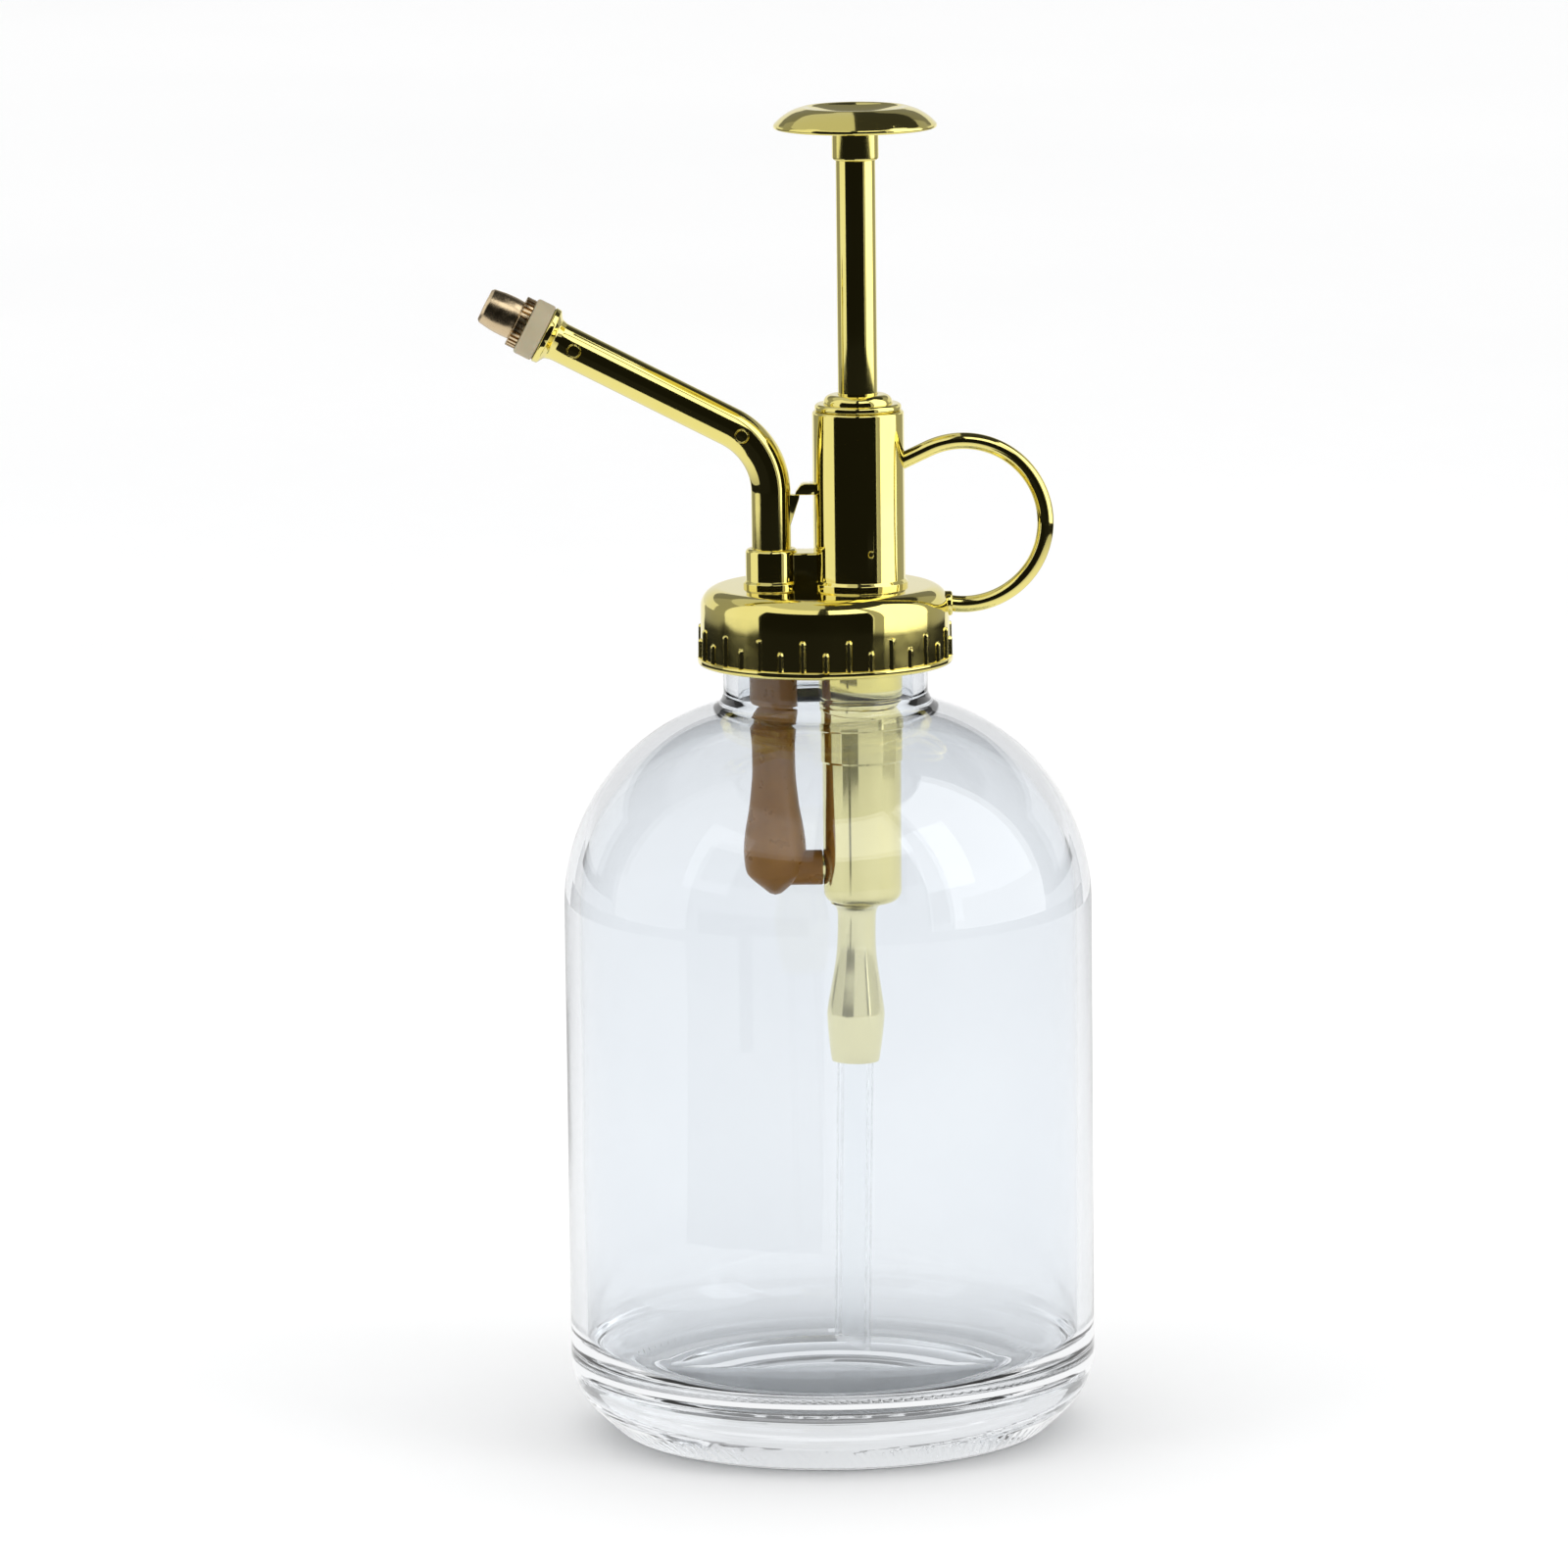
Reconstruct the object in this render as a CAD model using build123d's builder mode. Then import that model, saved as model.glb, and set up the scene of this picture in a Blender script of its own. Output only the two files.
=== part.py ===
from build123d import *

import math
import os

# Hand mister: a glass bottle with a screw-on plunger pump, a bent spout and a brass mist nozzle.
#
# Millimetres. Z is up, the origin is the centre of the bottle's foot on the table. The spout points
# along -X, the finger ring along +X, and -Y is the front. The pump and the spout stand on their own
# axes, parallel to the bottle's, one each side of it.

os.makedirs("parts", exist_ok=True)

# ------------------------------------------------------------------ driving dimensions: the bottle
body_r = 37.5
wall = 2.2
foot_r = 30.3  # where the flat foot would meet the sloping heel
foot_inner_r = 25.5  # the foot is a flat ring, hollowed inside this
punt_rise = 2.6  # height of the hollow under the foot
heel_z = 6.6
heel_fillet = 10.4
foot_fillet = 2.9
floor_edge_z = 8.3  # inside floor, next to the wall
floor_rise = 1.0
floor_fillet = 7.2
shoulder_z = 76.0  # the wall turns into the shoulder here
shoulder_r = 29.5  # radius of the shoulder's arc in section
neck_r = 14.5
neck_bore_r = 12.5
neck_root_fillet = 2.4
lip_z = 118.2
lip_fillet = 0.7

# the screw thread between the bottle and its cap: one right-handed bead on each
thread_pitch = 3.5
thread_turns = 1.25
thread_z = 112.7  # the middle of the bottle's bead where it starts
bead_half_root = 0.8
bead_half_crest = 0.45
bottle_bead_r = 15.8
cap_bead_r = 15.05
cap_bead_drop = 1.2  # the cap's bead runs this far under the bottle's

# --------------------------------------------------------------------- driving dimensions: the cap
cap_top_z = 121.5
cap_plate_z = 119.2  # underside of the cap's top plate
cap_rim_z = 110.5
cap_r = 17.6
cap_bore_r = 16.2
cap_lip_r = 18.1
cap_lip_height = 1.1
cap_shoulder_fillet = 2.8
rib_count = 17  # of each height, turn about
rib_r = 0.38
tall_rib_top = 116.0
short_rib_top = 114.3
gasket_gap = 0.02
vent_r = 0.5

# ----------------------------------------------------- driving dimensions: the pump and its barrel
pump_x = 4.97
barrel_r = 6.5
barrel_bore_r = 5.5
barrel_top_z = 146.4
bead_r = 6.85  # bead round the barrel's foot
boss_r = 5.95  # the barrel goes on under the cap as this boss
boss_z = 106.95
cylinder_r = 5.55
cylinder_bore_r = 4.5
cylinder_neck_r = 5.45  # the part of the cylinder inside the barrel
cylinder_top_z = 143.9
cylinder_z = 75.9
collar_r = 5.9
collar_z = 100.9
band_r = 5.75
band_z = 96.3
port_z = 81.0  # the side outlet
port_r = 1.1
nipple_r = 1.75  # the side nipple that the elbow plugs onto
nipple_end_x = -3.6
floor_z = 78.5  # inside floor of the cylinder
seat_hole_r = 1.0
ball_r = 1.75
inlet_ball_z = 78.4
cage_z = 81.7
cage_thickness = 1.2
cage_hole_r = 1.2

# --------------------------------------------------------------- driving dimensions: the plunger
rod_r = 2.8
guide_r = 2.85
spigot_r = 1.55
piston_top_z = 143.85
piston_height = 6.0
piston_r = 4.3
seal_r = 4.46
rod_top_z = 184.2
button_boss_r = 3.3
button_boss_z = 181.85
spring_wire_r = 0.4
spring_mean_r = 3.5
spring_turns = 15

# ------------------------------------------------- driving dimensions: the spout and its fittings
spout_x = -7.45
spout_r = 2.8
spout_bore_r = 1.4
spout_end_z = 118.05
socket_r = 3.7
socket_bore_r = 2.85
socket_top_z = 126.9
socket_shoulder_z = 118.0
socket_root_z = 116.6  # the socket goes on under the cap to here, then narrows to a nipple
web_half = 2.9
web_top_z = 126.4
outlet_nipple_r = 2.7
outlet_nipple_z = 108.0
outlet_seat_z = 113.3
outlet_ball_z = 114.8
outlet_chamber_r = 2.1
spout_corner_z = 141.3  # where the spout's two straight centre lines would meet
spout_bend_r = 10.5
spout_rise = math.radians(27.3)
spout_length = 35.8  # from that corner to the face that the nozzle's washer meets
flange_r = 4.2
stub_r = 2.1
washer_r = 4.2
washer_thickness = 2.8
nozzle_base_r = 3.75
nozzle_base_height = 1.4
nozzle_tip_r = 3.0
nozzle_height = 6.4
knurl_count = 30

# --------------------------------------------------- driving dimensions: ring, elbow and dip tube
ring_x = 19.7
ring_z = 130.2
ring_r = 11.65
ring_wire_r = 1.17
elbow_top_z = 116.5
elbow_sleeve_r = 3.4
elbow_bulge_r = 4.45
branch_r = 2.5
stem_offset = 0.85  # the suction stem stands this much nearer the bottle's axis than the cylinder
stem_lean = math.radians(1.1)  # and leans that way going down
stem_length = 22.8
stem_r = 2.7
stem_bore_r = 1.9
stem_bulge_r = 4.1
dip_r = 2.6
dip_bore_r = 1.85
dip_end_z = 10.6

# ------------------------------------------------------------------------- working planes and axes
pump_plane = Plane(origin=(pump_x, 0, 0), x_dir=(1, 0, 0), z_dir=(0, -1, 0))
pump_axis = Axis((pump_x, 0, 0), (0, 0, 1))
spout_plane = Plane(origin=(spout_x, 0, 0), x_dir=(1, 0, 0), z_dir=(0, -1, 0))
spout_axis = Axis((spout_x, 0, 0), (0, 0, 1))

spout_way = Vector(-math.cos(spout_rise), 0, math.sin(spout_rise))
spout_corner = Vector(spout_x, 0, spout_corner_z)
flange_centre = spout_corner + spout_way * spout_length
nozzle_plane = Plane(
    origin=flange_centre,
    x_dir=(math.sin(spout_rise), 0, math.cos(spout_rise)),
    z_dir=(0, -1, 0),
)
nozzle_axis = Axis(flange_centre, spout_way)

stem_top = Vector(pump_x - stem_offset, 0, cylinder_z)
stem_down = Vector(-math.sin(stem_lean), 0, -math.cos(stem_lean))
stem_plane = Plane(origin=stem_top, x_dir=(math.cos(stem_lean), 0, -math.sin(stem_lean)), z_dir=(0, -1, 0))
stem_axis = Axis(stem_top, stem_down)


def save(piece, name):
    """Labels a finished piece and writes its STEP file."""
    piece.part.label = name
    export_step(piece.part, f"parts/{name}.step")


def circle_point(centre, radius, degrees):
    """The point at that angle on a circle of a sketch."""
    angle = math.radians(degrees)
    return centre[0] + radius * math.cos(angle), centre[1] + radius * math.sin(angle)


def dome(edge, crown_z):
    """The arc of a shallow dome or dish, from its edge to its crown on the axis."""
    rise = crown_z - edge[1]
    radius = (edge[0] ** 2 + rise**2) / (2 * rise)
    half_angle = math.asin(edge[0] / radius) / 2
    middle = (radius * math.sin(half_angle), crown_z - radius * (1 - math.cos(half_angle)))
    ThreePointArc(edge, middle, (0, crown_z))


def round_corners(section, corners):
    """Rounds corners of a section, each given as its point and its radius."""
    for corner, radius in corners:
        fillet(section.vertices().sort_by_distance(corner)[0], radius)


# ------------------------------------------------------------------------------------- the bottle
shoulder_centre = (body_r - shoulder_r, shoulder_z)
neck_angle = math.degrees(math.acos((neck_r - shoulder_centre[0]) / shoulder_r))
inner_shoulder_r = shoulder_r - wall
bore_angle = math.degrees(math.acos((neck_bore_r - shoulder_centre[0]) / inner_shoulder_r))
neck_root = circle_point(shoulder_centre, shoulder_r, neck_angle)
bore_root = circle_point(shoulder_centre, inner_shoulder_r, bore_angle)
inner_r = body_r - wall
floor_edge = (inner_r, floor_edge_z)

with BuildPart() as bottle:
    with BuildSketch(Plane.XZ) as bottle_section:
        with BuildLine():
            dome((foot_inner_r, 0), punt_rise)
            Polyline((foot_inner_r, 0), (foot_r, 0), (body_r, heel_z), (body_r, shoulder_z))
            CenterArc(shoulder_centre, shoulder_r, 0, neck_angle)
            Polyline(neck_root, (neck_r, lip_z), (neck_bore_r, lip_z), bore_root)
            CenterArc(shoulder_centre, inner_shoulder_r, 0, bore_angle)
            Polyline((inner_r, shoulder_z), floor_edge)
            dome(floor_edge, floor_edge_z + floor_rise)
            Line((0, floor_edge_z + floor_rise), (0, punt_rise))
        make_face()
        corners = (
            ((foot_r, 0), foot_fillet),
            ((body_r, heel_z), heel_fillet),
            (neck_root, neck_root_fillet),
            ((neck_r, lip_z), lip_fillet),
            ((neck_bore_r, lip_z), lip_fillet),
            (bore_root, neck_root_fillet),
            (floor_edge, floor_fillet),
        )
        round_corners(bottle_section, corners)
    revolve(axis=Axis.Z)
    with BuildLine() as bottle_bead_path:
        Helix(thread_pitch, thread_pitch * thread_turns, neck_r, center=(0, 0, thread_z))
    with BuildSketch(Plane.XZ) as bottle_bead_section:
        with BuildLine():
            Polyline(
                (neck_r - 0.3, thread_z - bead_half_root),
                (bottle_bead_r, thread_z - bead_half_crest),
                (bottle_bead_r, thread_z + bead_half_crest),
                (neck_r - 0.3, thread_z + bead_half_root),
                close=True,
            )
        make_face()
    sweep(bottle_bead_section.sketch, path=bottle_bead_path.line, is_frenet=True)
save(bottle, "bottle")

# ----------------------------------------------------------------------------- gasket in the cap
with BuildPart() as cap_gasket:
    with BuildSketch(Plane.XY.offset(lip_z + gasket_gap)):
        Circle(cap_bore_r - 0.3)
        Circle(neck_bore_r + 0.2, mode=Mode.SUBTRACT)
    extrude(amount=cap_plate_z - lip_z - 2 * gasket_gap)
save(cap_gasket, "cap_gasket")

# -------------------------------------------------------------------------------- the finger ring
ring_plane = Plane(origin=(ring_x, 0, ring_z), x_dir=(1, 0, 0), z_dir=(0, -1, 0))
ring_seat_depth = 0.7
seated_r = barrel_r - ring_seat_depth
cap_end = -math.degrees(math.acos((cap_r - 0.8 - ring_x) / ring_r))
straight_from = 115  # the wire runs straight from here into the barrel
straight_start = circle_point((0, 0), ring_r, straight_from)
straight_end = circle_point(straight_start, 6.2, straight_from + 90)

with BuildPart() as finger_ring:
    with BuildLine(ring_plane) as ring_path:
        CenterArc((0, 0), ring_r, cap_end, straight_from - cap_end)
        Line(straight_start, straight_end)
    with BuildSketch(Plane(origin=ring_path.line @ 0, z_dir=ring_path.line % 0)):
        Circle(ring_wire_r)
    sweep(path=ring_path.line)
    with Locations((pump_x, 0, ring_z)):
        Cylinder(seated_r, 4 * ring_r, mode=Mode.SUBTRACT)
save(finger_ring, "finger_ring")

# --------------------------------------------------------------------------------- the screw cap
with BuildPart(mode=Mode.PRIVATE) as tall_rib:
    with BuildSketch(Plane.XY.offset(cap_rim_z + cap_lip_height - 0.2)):
        Circle(rib_r)
    extrude(amount=tall_rib_top - cap_rim_z - cap_lip_height + 0.2)
    fillet(tall_rib.edges().group_by(Axis.Z)[-1], rib_r * 0.8)

with BuildPart(mode=Mode.PRIVATE) as short_rib:
    with BuildSketch(Plane.XY.offset(cap_rim_z + cap_lip_height - 0.2)):
        Circle(rib_r)
    extrude(amount=short_rib_top - cap_rim_z - cap_lip_height + 0.2)
    fillet(short_rib.edges().group_by(Axis.Z)[-1], rib_r * 0.8)

lug_x = cap_r - 1.3
lug_r = 1.75
with BuildPart() as screw_cap:
    with BuildSketch(Plane.XZ) as cap_section:
        with BuildLine():
            Polyline(
                (0, cap_plate_z),
                (cap_bore_r, cap_plate_z),
                (cap_bore_r, cap_rim_z),
                (cap_lip_r, cap_rim_z),
                (cap_lip_r, cap_rim_z + cap_lip_height),
                (cap_r + 0.1, cap_rim_z + cap_lip_height),
                (cap_r, cap_top_z),
                (0, cap_top_z),
                close=True,
            )
        make_face()
        corners = (
            ((cap_r, cap_top_z), cap_shoulder_fillet),
            ((cap_lip_r, cap_rim_z), 0.5),
            ((cap_lip_r, cap_rim_z + cap_lip_height), 0.3),
            ((cap_bore_r, cap_rim_z), 0.4),
        )
        round_corners(cap_section, corners)
    revolve(axis=Axis.Z)
    with PolarLocations(cap_r, rib_count, start_angle=-90):
        add(short_rib.part)
    with PolarLocations(cap_r, rib_count, start_angle=180 / rib_count - 90):
        add(tall_rib.part)
    with BuildSketch(Plane.YZ.offset(lug_x)):
        with Locations((0, ring_z - ring_r + 0.15)):
            Circle(lug_r)
    extrude(amount=cap_r + 0.5 - lug_x)
    with BuildLine() as cap_bead_path:
        Helix(
            thread_pitch,
            thread_pitch * thread_turns,
            cap_bore_r,
            center=(0, 0, thread_z - cap_bead_drop),
        )
    with BuildSketch(Plane.XZ) as cap_bead_section:
        middle = thread_z - cap_bead_drop
        with BuildLine():
            Polyline(
                (cap_bore_r + 0.3, middle - bead_half_root),
                (cap_bead_r, middle - bead_half_crest),
                (cap_bead_r, middle + bead_half_crest),
                (cap_bore_r + 0.3, middle + bead_half_root),
                close=True,
            )
        make_face()
    sweep(cap_bead_section.sketch, path=cap_bead_path.line, is_frenet=True)
    with Locations((pump_x, 0, cap_top_z)):
        Cylinder(boss_r + 0.05, 10, mode=Mode.SUBTRACT)
    with Locations((spout_x, 0, cap_top_z)):
        Cylinder(socket_r + 0.05, 10, mode=Mode.SUBTRACT)
    with Locations((-2.0, 9.2, cap_top_z)):
        Cylinder(vent_r, 10, mode=Mode.SUBTRACT)
    add(finger_ring.part, mode=Mode.SUBTRACT)
save(screw_cap, "screw_cap")

# ------------------------------------------------- the pump body: barrel, spout socket, web, hook
hook_tip_x = spout_x + 3.45
hook_z = 134.55
hook_top_z = 136.1
mark_x, mark_z = 6.6, 126.6  # a small round pin mark on the barrel's front

with BuildPart() as pump_body:
    with BuildSketch(pump_plane):
        with BuildLine():
            Polyline(
                (0, boss_z),
                (boss_r, boss_z),
                (boss_r, cap_top_z),
                (bead_r, cap_top_z),
                (bead_r, cap_top_z + 0.5),
                (barrel_r, cap_top_z + 0.9),
                (barrel_r, barrel_top_z - 0.5),
                (barrel_r - 0.5, barrel_top_z),
                (0, barrel_top_z),
                close=True,
            )
        make_face()
    revolve(axis=pump_axis)
    with BuildSketch(spout_plane):
        with BuildLine():
            Polyline(
                (0, outlet_nipple_z),
                (outlet_nipple_r, outlet_nipple_z),
                (outlet_nipple_r, socket_root_z),
                (socket_r, socket_root_z),
                (socket_r, cap_top_z),
                (socket_r + 0.35, cap_top_z),
                (socket_r + 0.35, cap_top_z + 0.5),
                (socket_r, cap_top_z + 0.8),
                (socket_r, socket_top_z - 0.6),
                (socket_r - 0.6, socket_top_z),
                (0, socket_top_z),
                close=True,
            )
        make_face()
    revolve(axis=spout_axis)
    with BuildSketch(Plane.XY.offset(cap_top_z)):
        with Locations(((spout_x + pump_x) / 2, 0)):
            Rectangle(pump_x - spout_x, 2 * web_half)
    extrude(amount=web_top_z - cap_top_z)
    with BuildSketch(Plane.XZ):
        with BuildLine():
            Polyline(
                (pump_x - barrel_r + 1, hook_z),
                (hook_tip_x, hook_z),
                (hook_tip_x, hook_z + 0.35),
                (hook_tip_x + 0.75, hook_top_z - 0.15),
                (hook_tip_x + 1.15, hook_top_z),
                (pump_x - barrel_r + 1, hook_top_z),
                close=True,
            )
        make_face()
    extrude(amount=1.5, both=True)
    with BuildSketch(pump_plane):
        with Locations((barrel_bore_r / 2, (barrel_top_z + boss_z) / 2)):
            Rectangle(barrel_bore_r, barrel_top_z - boss_z + 2)
    revolve(axis=pump_axis, mode=Mode.SUBTRACT)
    with BuildSketch(spout_plane):
        with BuildLine():
            Polyline(
                (0, outlet_nipple_z - 1),
                (seat_hole_r, outlet_nipple_z - 1),
                (seat_hole_r, outlet_seat_z),
                (outlet_chamber_r, outlet_seat_z + outlet_chamber_r - seat_hole_r),
                (outlet_chamber_r, socket_shoulder_z),
                (socket_bore_r, socket_shoulder_z),
                (socket_bore_r, socket_top_z + 1),
                (0, socket_top_z + 1),
                close=True,
            )
        make_face()
    revolve(axis=spout_axis, mode=Mode.SUBTRACT)
    with BuildSketch(Plane.XZ.offset(barrel_r - 0.25)):
        with Locations((mark_x, mark_z)):
            Circle(0.55)
            Circle(0.35, mode=Mode.SUBTRACT)
    extrude(amount=1, mode=Mode.SUBTRACT)
    add(finger_ring.part, mode=Mode.SUBTRACT)
save(pump_body, "pump_body")

# ---------------------------------------------------- gland cap on the barrel, and its rod seal
gland_r = 6.15
dome_r = 4.9
gland_step_z = barrel_top_z + 1.0
dome_top_z = 148.7
seal_pocket_r = 4.2
seal_pocket_z = 145.2

with BuildPart() as gland_cap:
    with BuildSketch(pump_plane) as gland_section:
        with BuildLine():
            Polyline(
                (seal_pocket_r, cylinder_top_z + 0.02),
                (barrel_bore_r - 0.03, cylinder_top_z + 0.02),
                (barrel_bore_r - 0.03, barrel_top_z + 0.02),
                (gland_r, barrel_top_z + 0.02),
                (gland_r, gland_step_z),
                (dome_r, gland_step_z),
                (dome_r, dome_top_z),
                (guide_r, dome_top_z),
                (guide_r, seal_pocket_z),
                (seal_pocket_r, seal_pocket_z),
                close=True,
            )
        make_face()
        corners = (
            ((gland_r, barrel_top_z + 0.02), 0.3),
            ((gland_r, gland_step_z), 0.5),
            ((dome_r, dome_top_z), 1.3),
        )
        round_corners(gland_section, corners)
    revolve(axis=pump_axis)
save(gland_cap, "gland_cap")

rod_seal_wire = 0.56
with BuildPart() as rod_seal:
    with BuildSketch(pump_plane):
        with Locations((guide_r + rod_seal_wire, seal_pocket_z - rod_seal_wire - 0.05)):
            Circle(rod_seal_wire)
    revolve(axis=pump_axis)
save(rod_seal, "rod_seal")

# ----------------------------------------------------------------------------- the pump cylinder
with BuildPart() as pump_cylinder:
    with BuildSketch(pump_plane):
        with BuildLine():
            Line((0, cylinder_z), (3.7, cylinder_z))
            ThreePointArc((3.7, cylinder_z), (4.97, cylinder_z + 0.85), (cylinder_r, cylinder_z + 2.6))
            Polyline(
                (cylinder_r, cylinder_z + 2.6),
                (cylinder_r, band_z),
                (band_r, band_z + 0.3),
                (band_r, collar_z),
                (collar_r, collar_z + 0.2),
                (collar_r, collar_z + 1.5),
                (collar_r - 0.3, collar_z + 1.7),
                (collar_r - 0.3, collar_z + 2.2),
                (collar_r, collar_z + 2.4),
                (collar_r, collar_z + 3.9),
                (collar_r - 0.3, collar_z + 4.1),
                (collar_r - 0.3, collar_z + 4.6),
                (collar_r, collar_z + 4.8),
                (collar_r, boss_z - 0.02),
                (cylinder_neck_r, boss_z - 0.02),
                (cylinder_neck_r, cylinder_top_z),
                (0, cylinder_top_z),
                (0, cylinder_z),
            )
        make_face()
    revolve(axis=pump_axis)
    with BuildSketch(Plane.YZ.offset(nipple_end_x)):
        with Locations((0, port_z)):
            Circle(nipple_r)
    extrude(amount=pump_x - 1 - cylinder_bore_r - nipple_end_x + 1.5)
    with BuildSketch(pump_plane):
        with BuildLine():
            Polyline(
                (0, cylinder_z - 1),
                (seat_hole_r, cylinder_z - 1),
                (seat_hole_r, cylinder_z + 1),
                (floor_z - cylinder_z - 1 + seat_hole_r, floor_z),
                (cylinder_bore_r, floor_z),
                (cylinder_bore_r, cylinder_top_z + 1),
                (0, cylinder_top_z + 1),
                close=True,
            )
        make_face()
    revolve(axis=pump_axis, mode=Mode.SUBTRACT)
    with BuildSketch(Plane.YZ.offset(nipple_end_x - 1)):
        with Locations((0, port_z)):
            Circle(port_r)
    extrude(amount=pump_x - nipple_end_x + 1, mode=Mode.SUBTRACT)
save(pump_cylinder, "pump_cylinder")

# ------------------------------------------------------- inlet valve: a ball under a legged cage
cage_foot = Plane(origin=(pump_x, 0, floor_z + 0.02), z_dir=(0, 0, 1))
window = 2.6
with BuildPart() as ball_cage:
    with BuildSketch(cage_foot):
        Circle(cylinder_bore_r - 0.06)
    extrude(amount=cage_z + cage_thickness - floor_z)
    with BuildSketch(cage_foot):
        Circle(cylinder_bore_r - 1.3)
        Rectangle(window, 3 * cylinder_bore_r)
        Rectangle(3 * cylinder_bore_r, window)
    extrude(amount=cage_z - floor_z, mode=Mode.SUBTRACT)
    with BuildSketch(cage_foot):
        Circle(cage_hole_r)
    extrude(amount=2 * (cage_z - floor_z), mode=Mode.SUBTRACT)
save(ball_cage, "ball_cage")

with BuildPart() as inlet_ball:
    with Locations((pump_x, 0, inlet_ball_z)):
        Sphere(ball_r)
save(inlet_ball, "inlet_ball")

with BuildPart() as outlet_ball:
    with Locations((spout_x, 0, outlet_ball_z)):
        Sphere(ball_r)
save(outlet_ball, "outlet_ball")

# ------------------------------------------------------------------- suction stem and dip tube
dip_socket_depth = 8.0

with BuildPart() as suction_stem:
    with BuildSketch(stem_plane):
        with BuildLine():
            Polyline((0, 1), (stem_r + 1.1, 1), (stem_r + 1.1, -0.1))
            ThreePointArc((stem_r + 1.1, -0.1), (stem_r + 0.3, -0.6), (stem_r, -1.6))
            Line((stem_r, -1.6), (stem_r, -5))
            Spline(
                (stem_r, -5),
                (stem_r + 0.45, -9.5),
                (stem_bulge_r, -16),
                (3.5, -stem_length),
                tangents=((0, -1), (-0.2, -1)),
            )
            Polyline((3.5, -stem_length), (0, -stem_length), (0, 1))
        make_face()
    revolve(axis=stem_axis)
    with BuildSketch(stem_plane):
        with BuildLine():
            Polyline(
                (0, 2),
                (stem_bore_r, 2),
                (stem_bore_r, dip_socket_depth - stem_length),
                (dip_r + 0.03, dip_socket_depth - stem_length),
                (dip_r + 0.03, -stem_length - 1),
                (0, -stem_length - 1),
                close=True,
            )
        make_face()
    revolve(axis=stem_axis, mode=Mode.SUBTRACT)
    split(bisect_by=Plane.XY.offset(cylinder_z - 0.02), keep=Keep.BOTTOM)
save(suction_stem, "suction_stem")

dip_start = stem_length - dip_socket_depth + 0.03
dip_reach = (cylinder_z - dip_end_z) / math.cos(stem_lean)
dip_cut = 25.0  # slope of the tube's cut end, degrees

with BuildPart() as dip_tube:
    with BuildSketch(stem_plane):
        with Locations(((dip_r + dip_bore_r) / 2, -(dip_start + dip_reach + 4) / 2)):
            Rectangle(dip_r - dip_bore_r, dip_reach + 4 - dip_start)
    revolve(axis=stem_axis)
    split(
        bisect_by=Plane(
            origin=stem_top + stem_down * (dip_reach - dip_r * math.tan(math.radians(dip_cut))),
            z_dir=(math.sin(math.radians(dip_cut)), 0, math.cos(math.radians(dip_cut))),
        ),
        keep=Keep.TOP,
    )
save(dip_tube, "dip_tube")

# ------------------------------------------------------------------------- the delivery elbow
elbow_bore_r = 1.6
elbow_step_z = outlet_nipple_z - 0.1
branch_end_x = pump_x - cylinder_r - 0.05

with BuildPart() as delivery_elbow:
    with BuildSketch(spout_plane):
        with BuildLine():
            Polyline(
                (0, elbow_top_z),
                (elbow_sleeve_r, elbow_top_z),
                (elbow_sleeve_r, 103.4),
                (2.7, 102.7),
                (2.7, 102.0),
                (3.25, 101.3),
            )
            Spline(
                (3.25, 101.3),
                (3.0, 95.5),
                (3.55, 89.5),
                (elbow_bulge_r, 84.0),
                (4.05, 80.0),
                tangents=((-0.1, -1), (-0.3, -1)),
            )
            Polyline((4.05, 80.0), (1.0, 77.3), (0, 77.0), (0, elbow_top_z))
        make_face()
    revolve(axis=spout_axis)
    with BuildSketch(Plane.YZ.offset(spout_x)):
        with Locations((0, port_z)):
            Circle(branch_r)
    extrude(amount=branch_end_x - spout_x)
    with BuildSketch(spout_plane):
        with BuildLine():
            Polyline(
                (0, port_z - elbow_bore_r),
                (elbow_bore_r, port_z - elbow_bore_r),
                (elbow_bore_r, elbow_step_z),
                (outlet_nipple_r + 0.05, elbow_step_z),
                (outlet_nipple_r + 0.05, elbow_top_z + 1),
                (0, elbow_top_z + 1),
                close=True,
            )
        make_face()
    revolve(axis=spout_axis, mode=Mode.SUBTRACT)
    with BuildSketch(Plane.YZ.offset(spout_x)):
        with Locations((0, port_z)):
            Circle(port_r)
    extrude(amount=branch_end_x - spout_x + 1, mode=Mode.SUBTRACT)
    with BuildSketch(Plane.YZ.offset(nipple_end_x - 0.1)):
        with Locations((0, port_z)):
            Circle(nipple_r + 0.05)
    extrude(amount=4, mode=Mode.SUBTRACT)
save(delivery_elbow, "delivery_elbow")

# ------------------------------------------------------------------------------------ the spout
groove_z = 122.4
groove_height = 1.1
groove_r = 1.9
mark_r = 1.05
bend_centre = (spout_x - spout_bend_r, spout_corner_z - spout_bend_r * math.tan((math.pi / 2 - spout_rise) / 2))
bend_mark = circle_point(bend_centre, spout_bend_r, 52)
end_mark = spout_corner + spout_way * (spout_length - 4.8)

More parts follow.
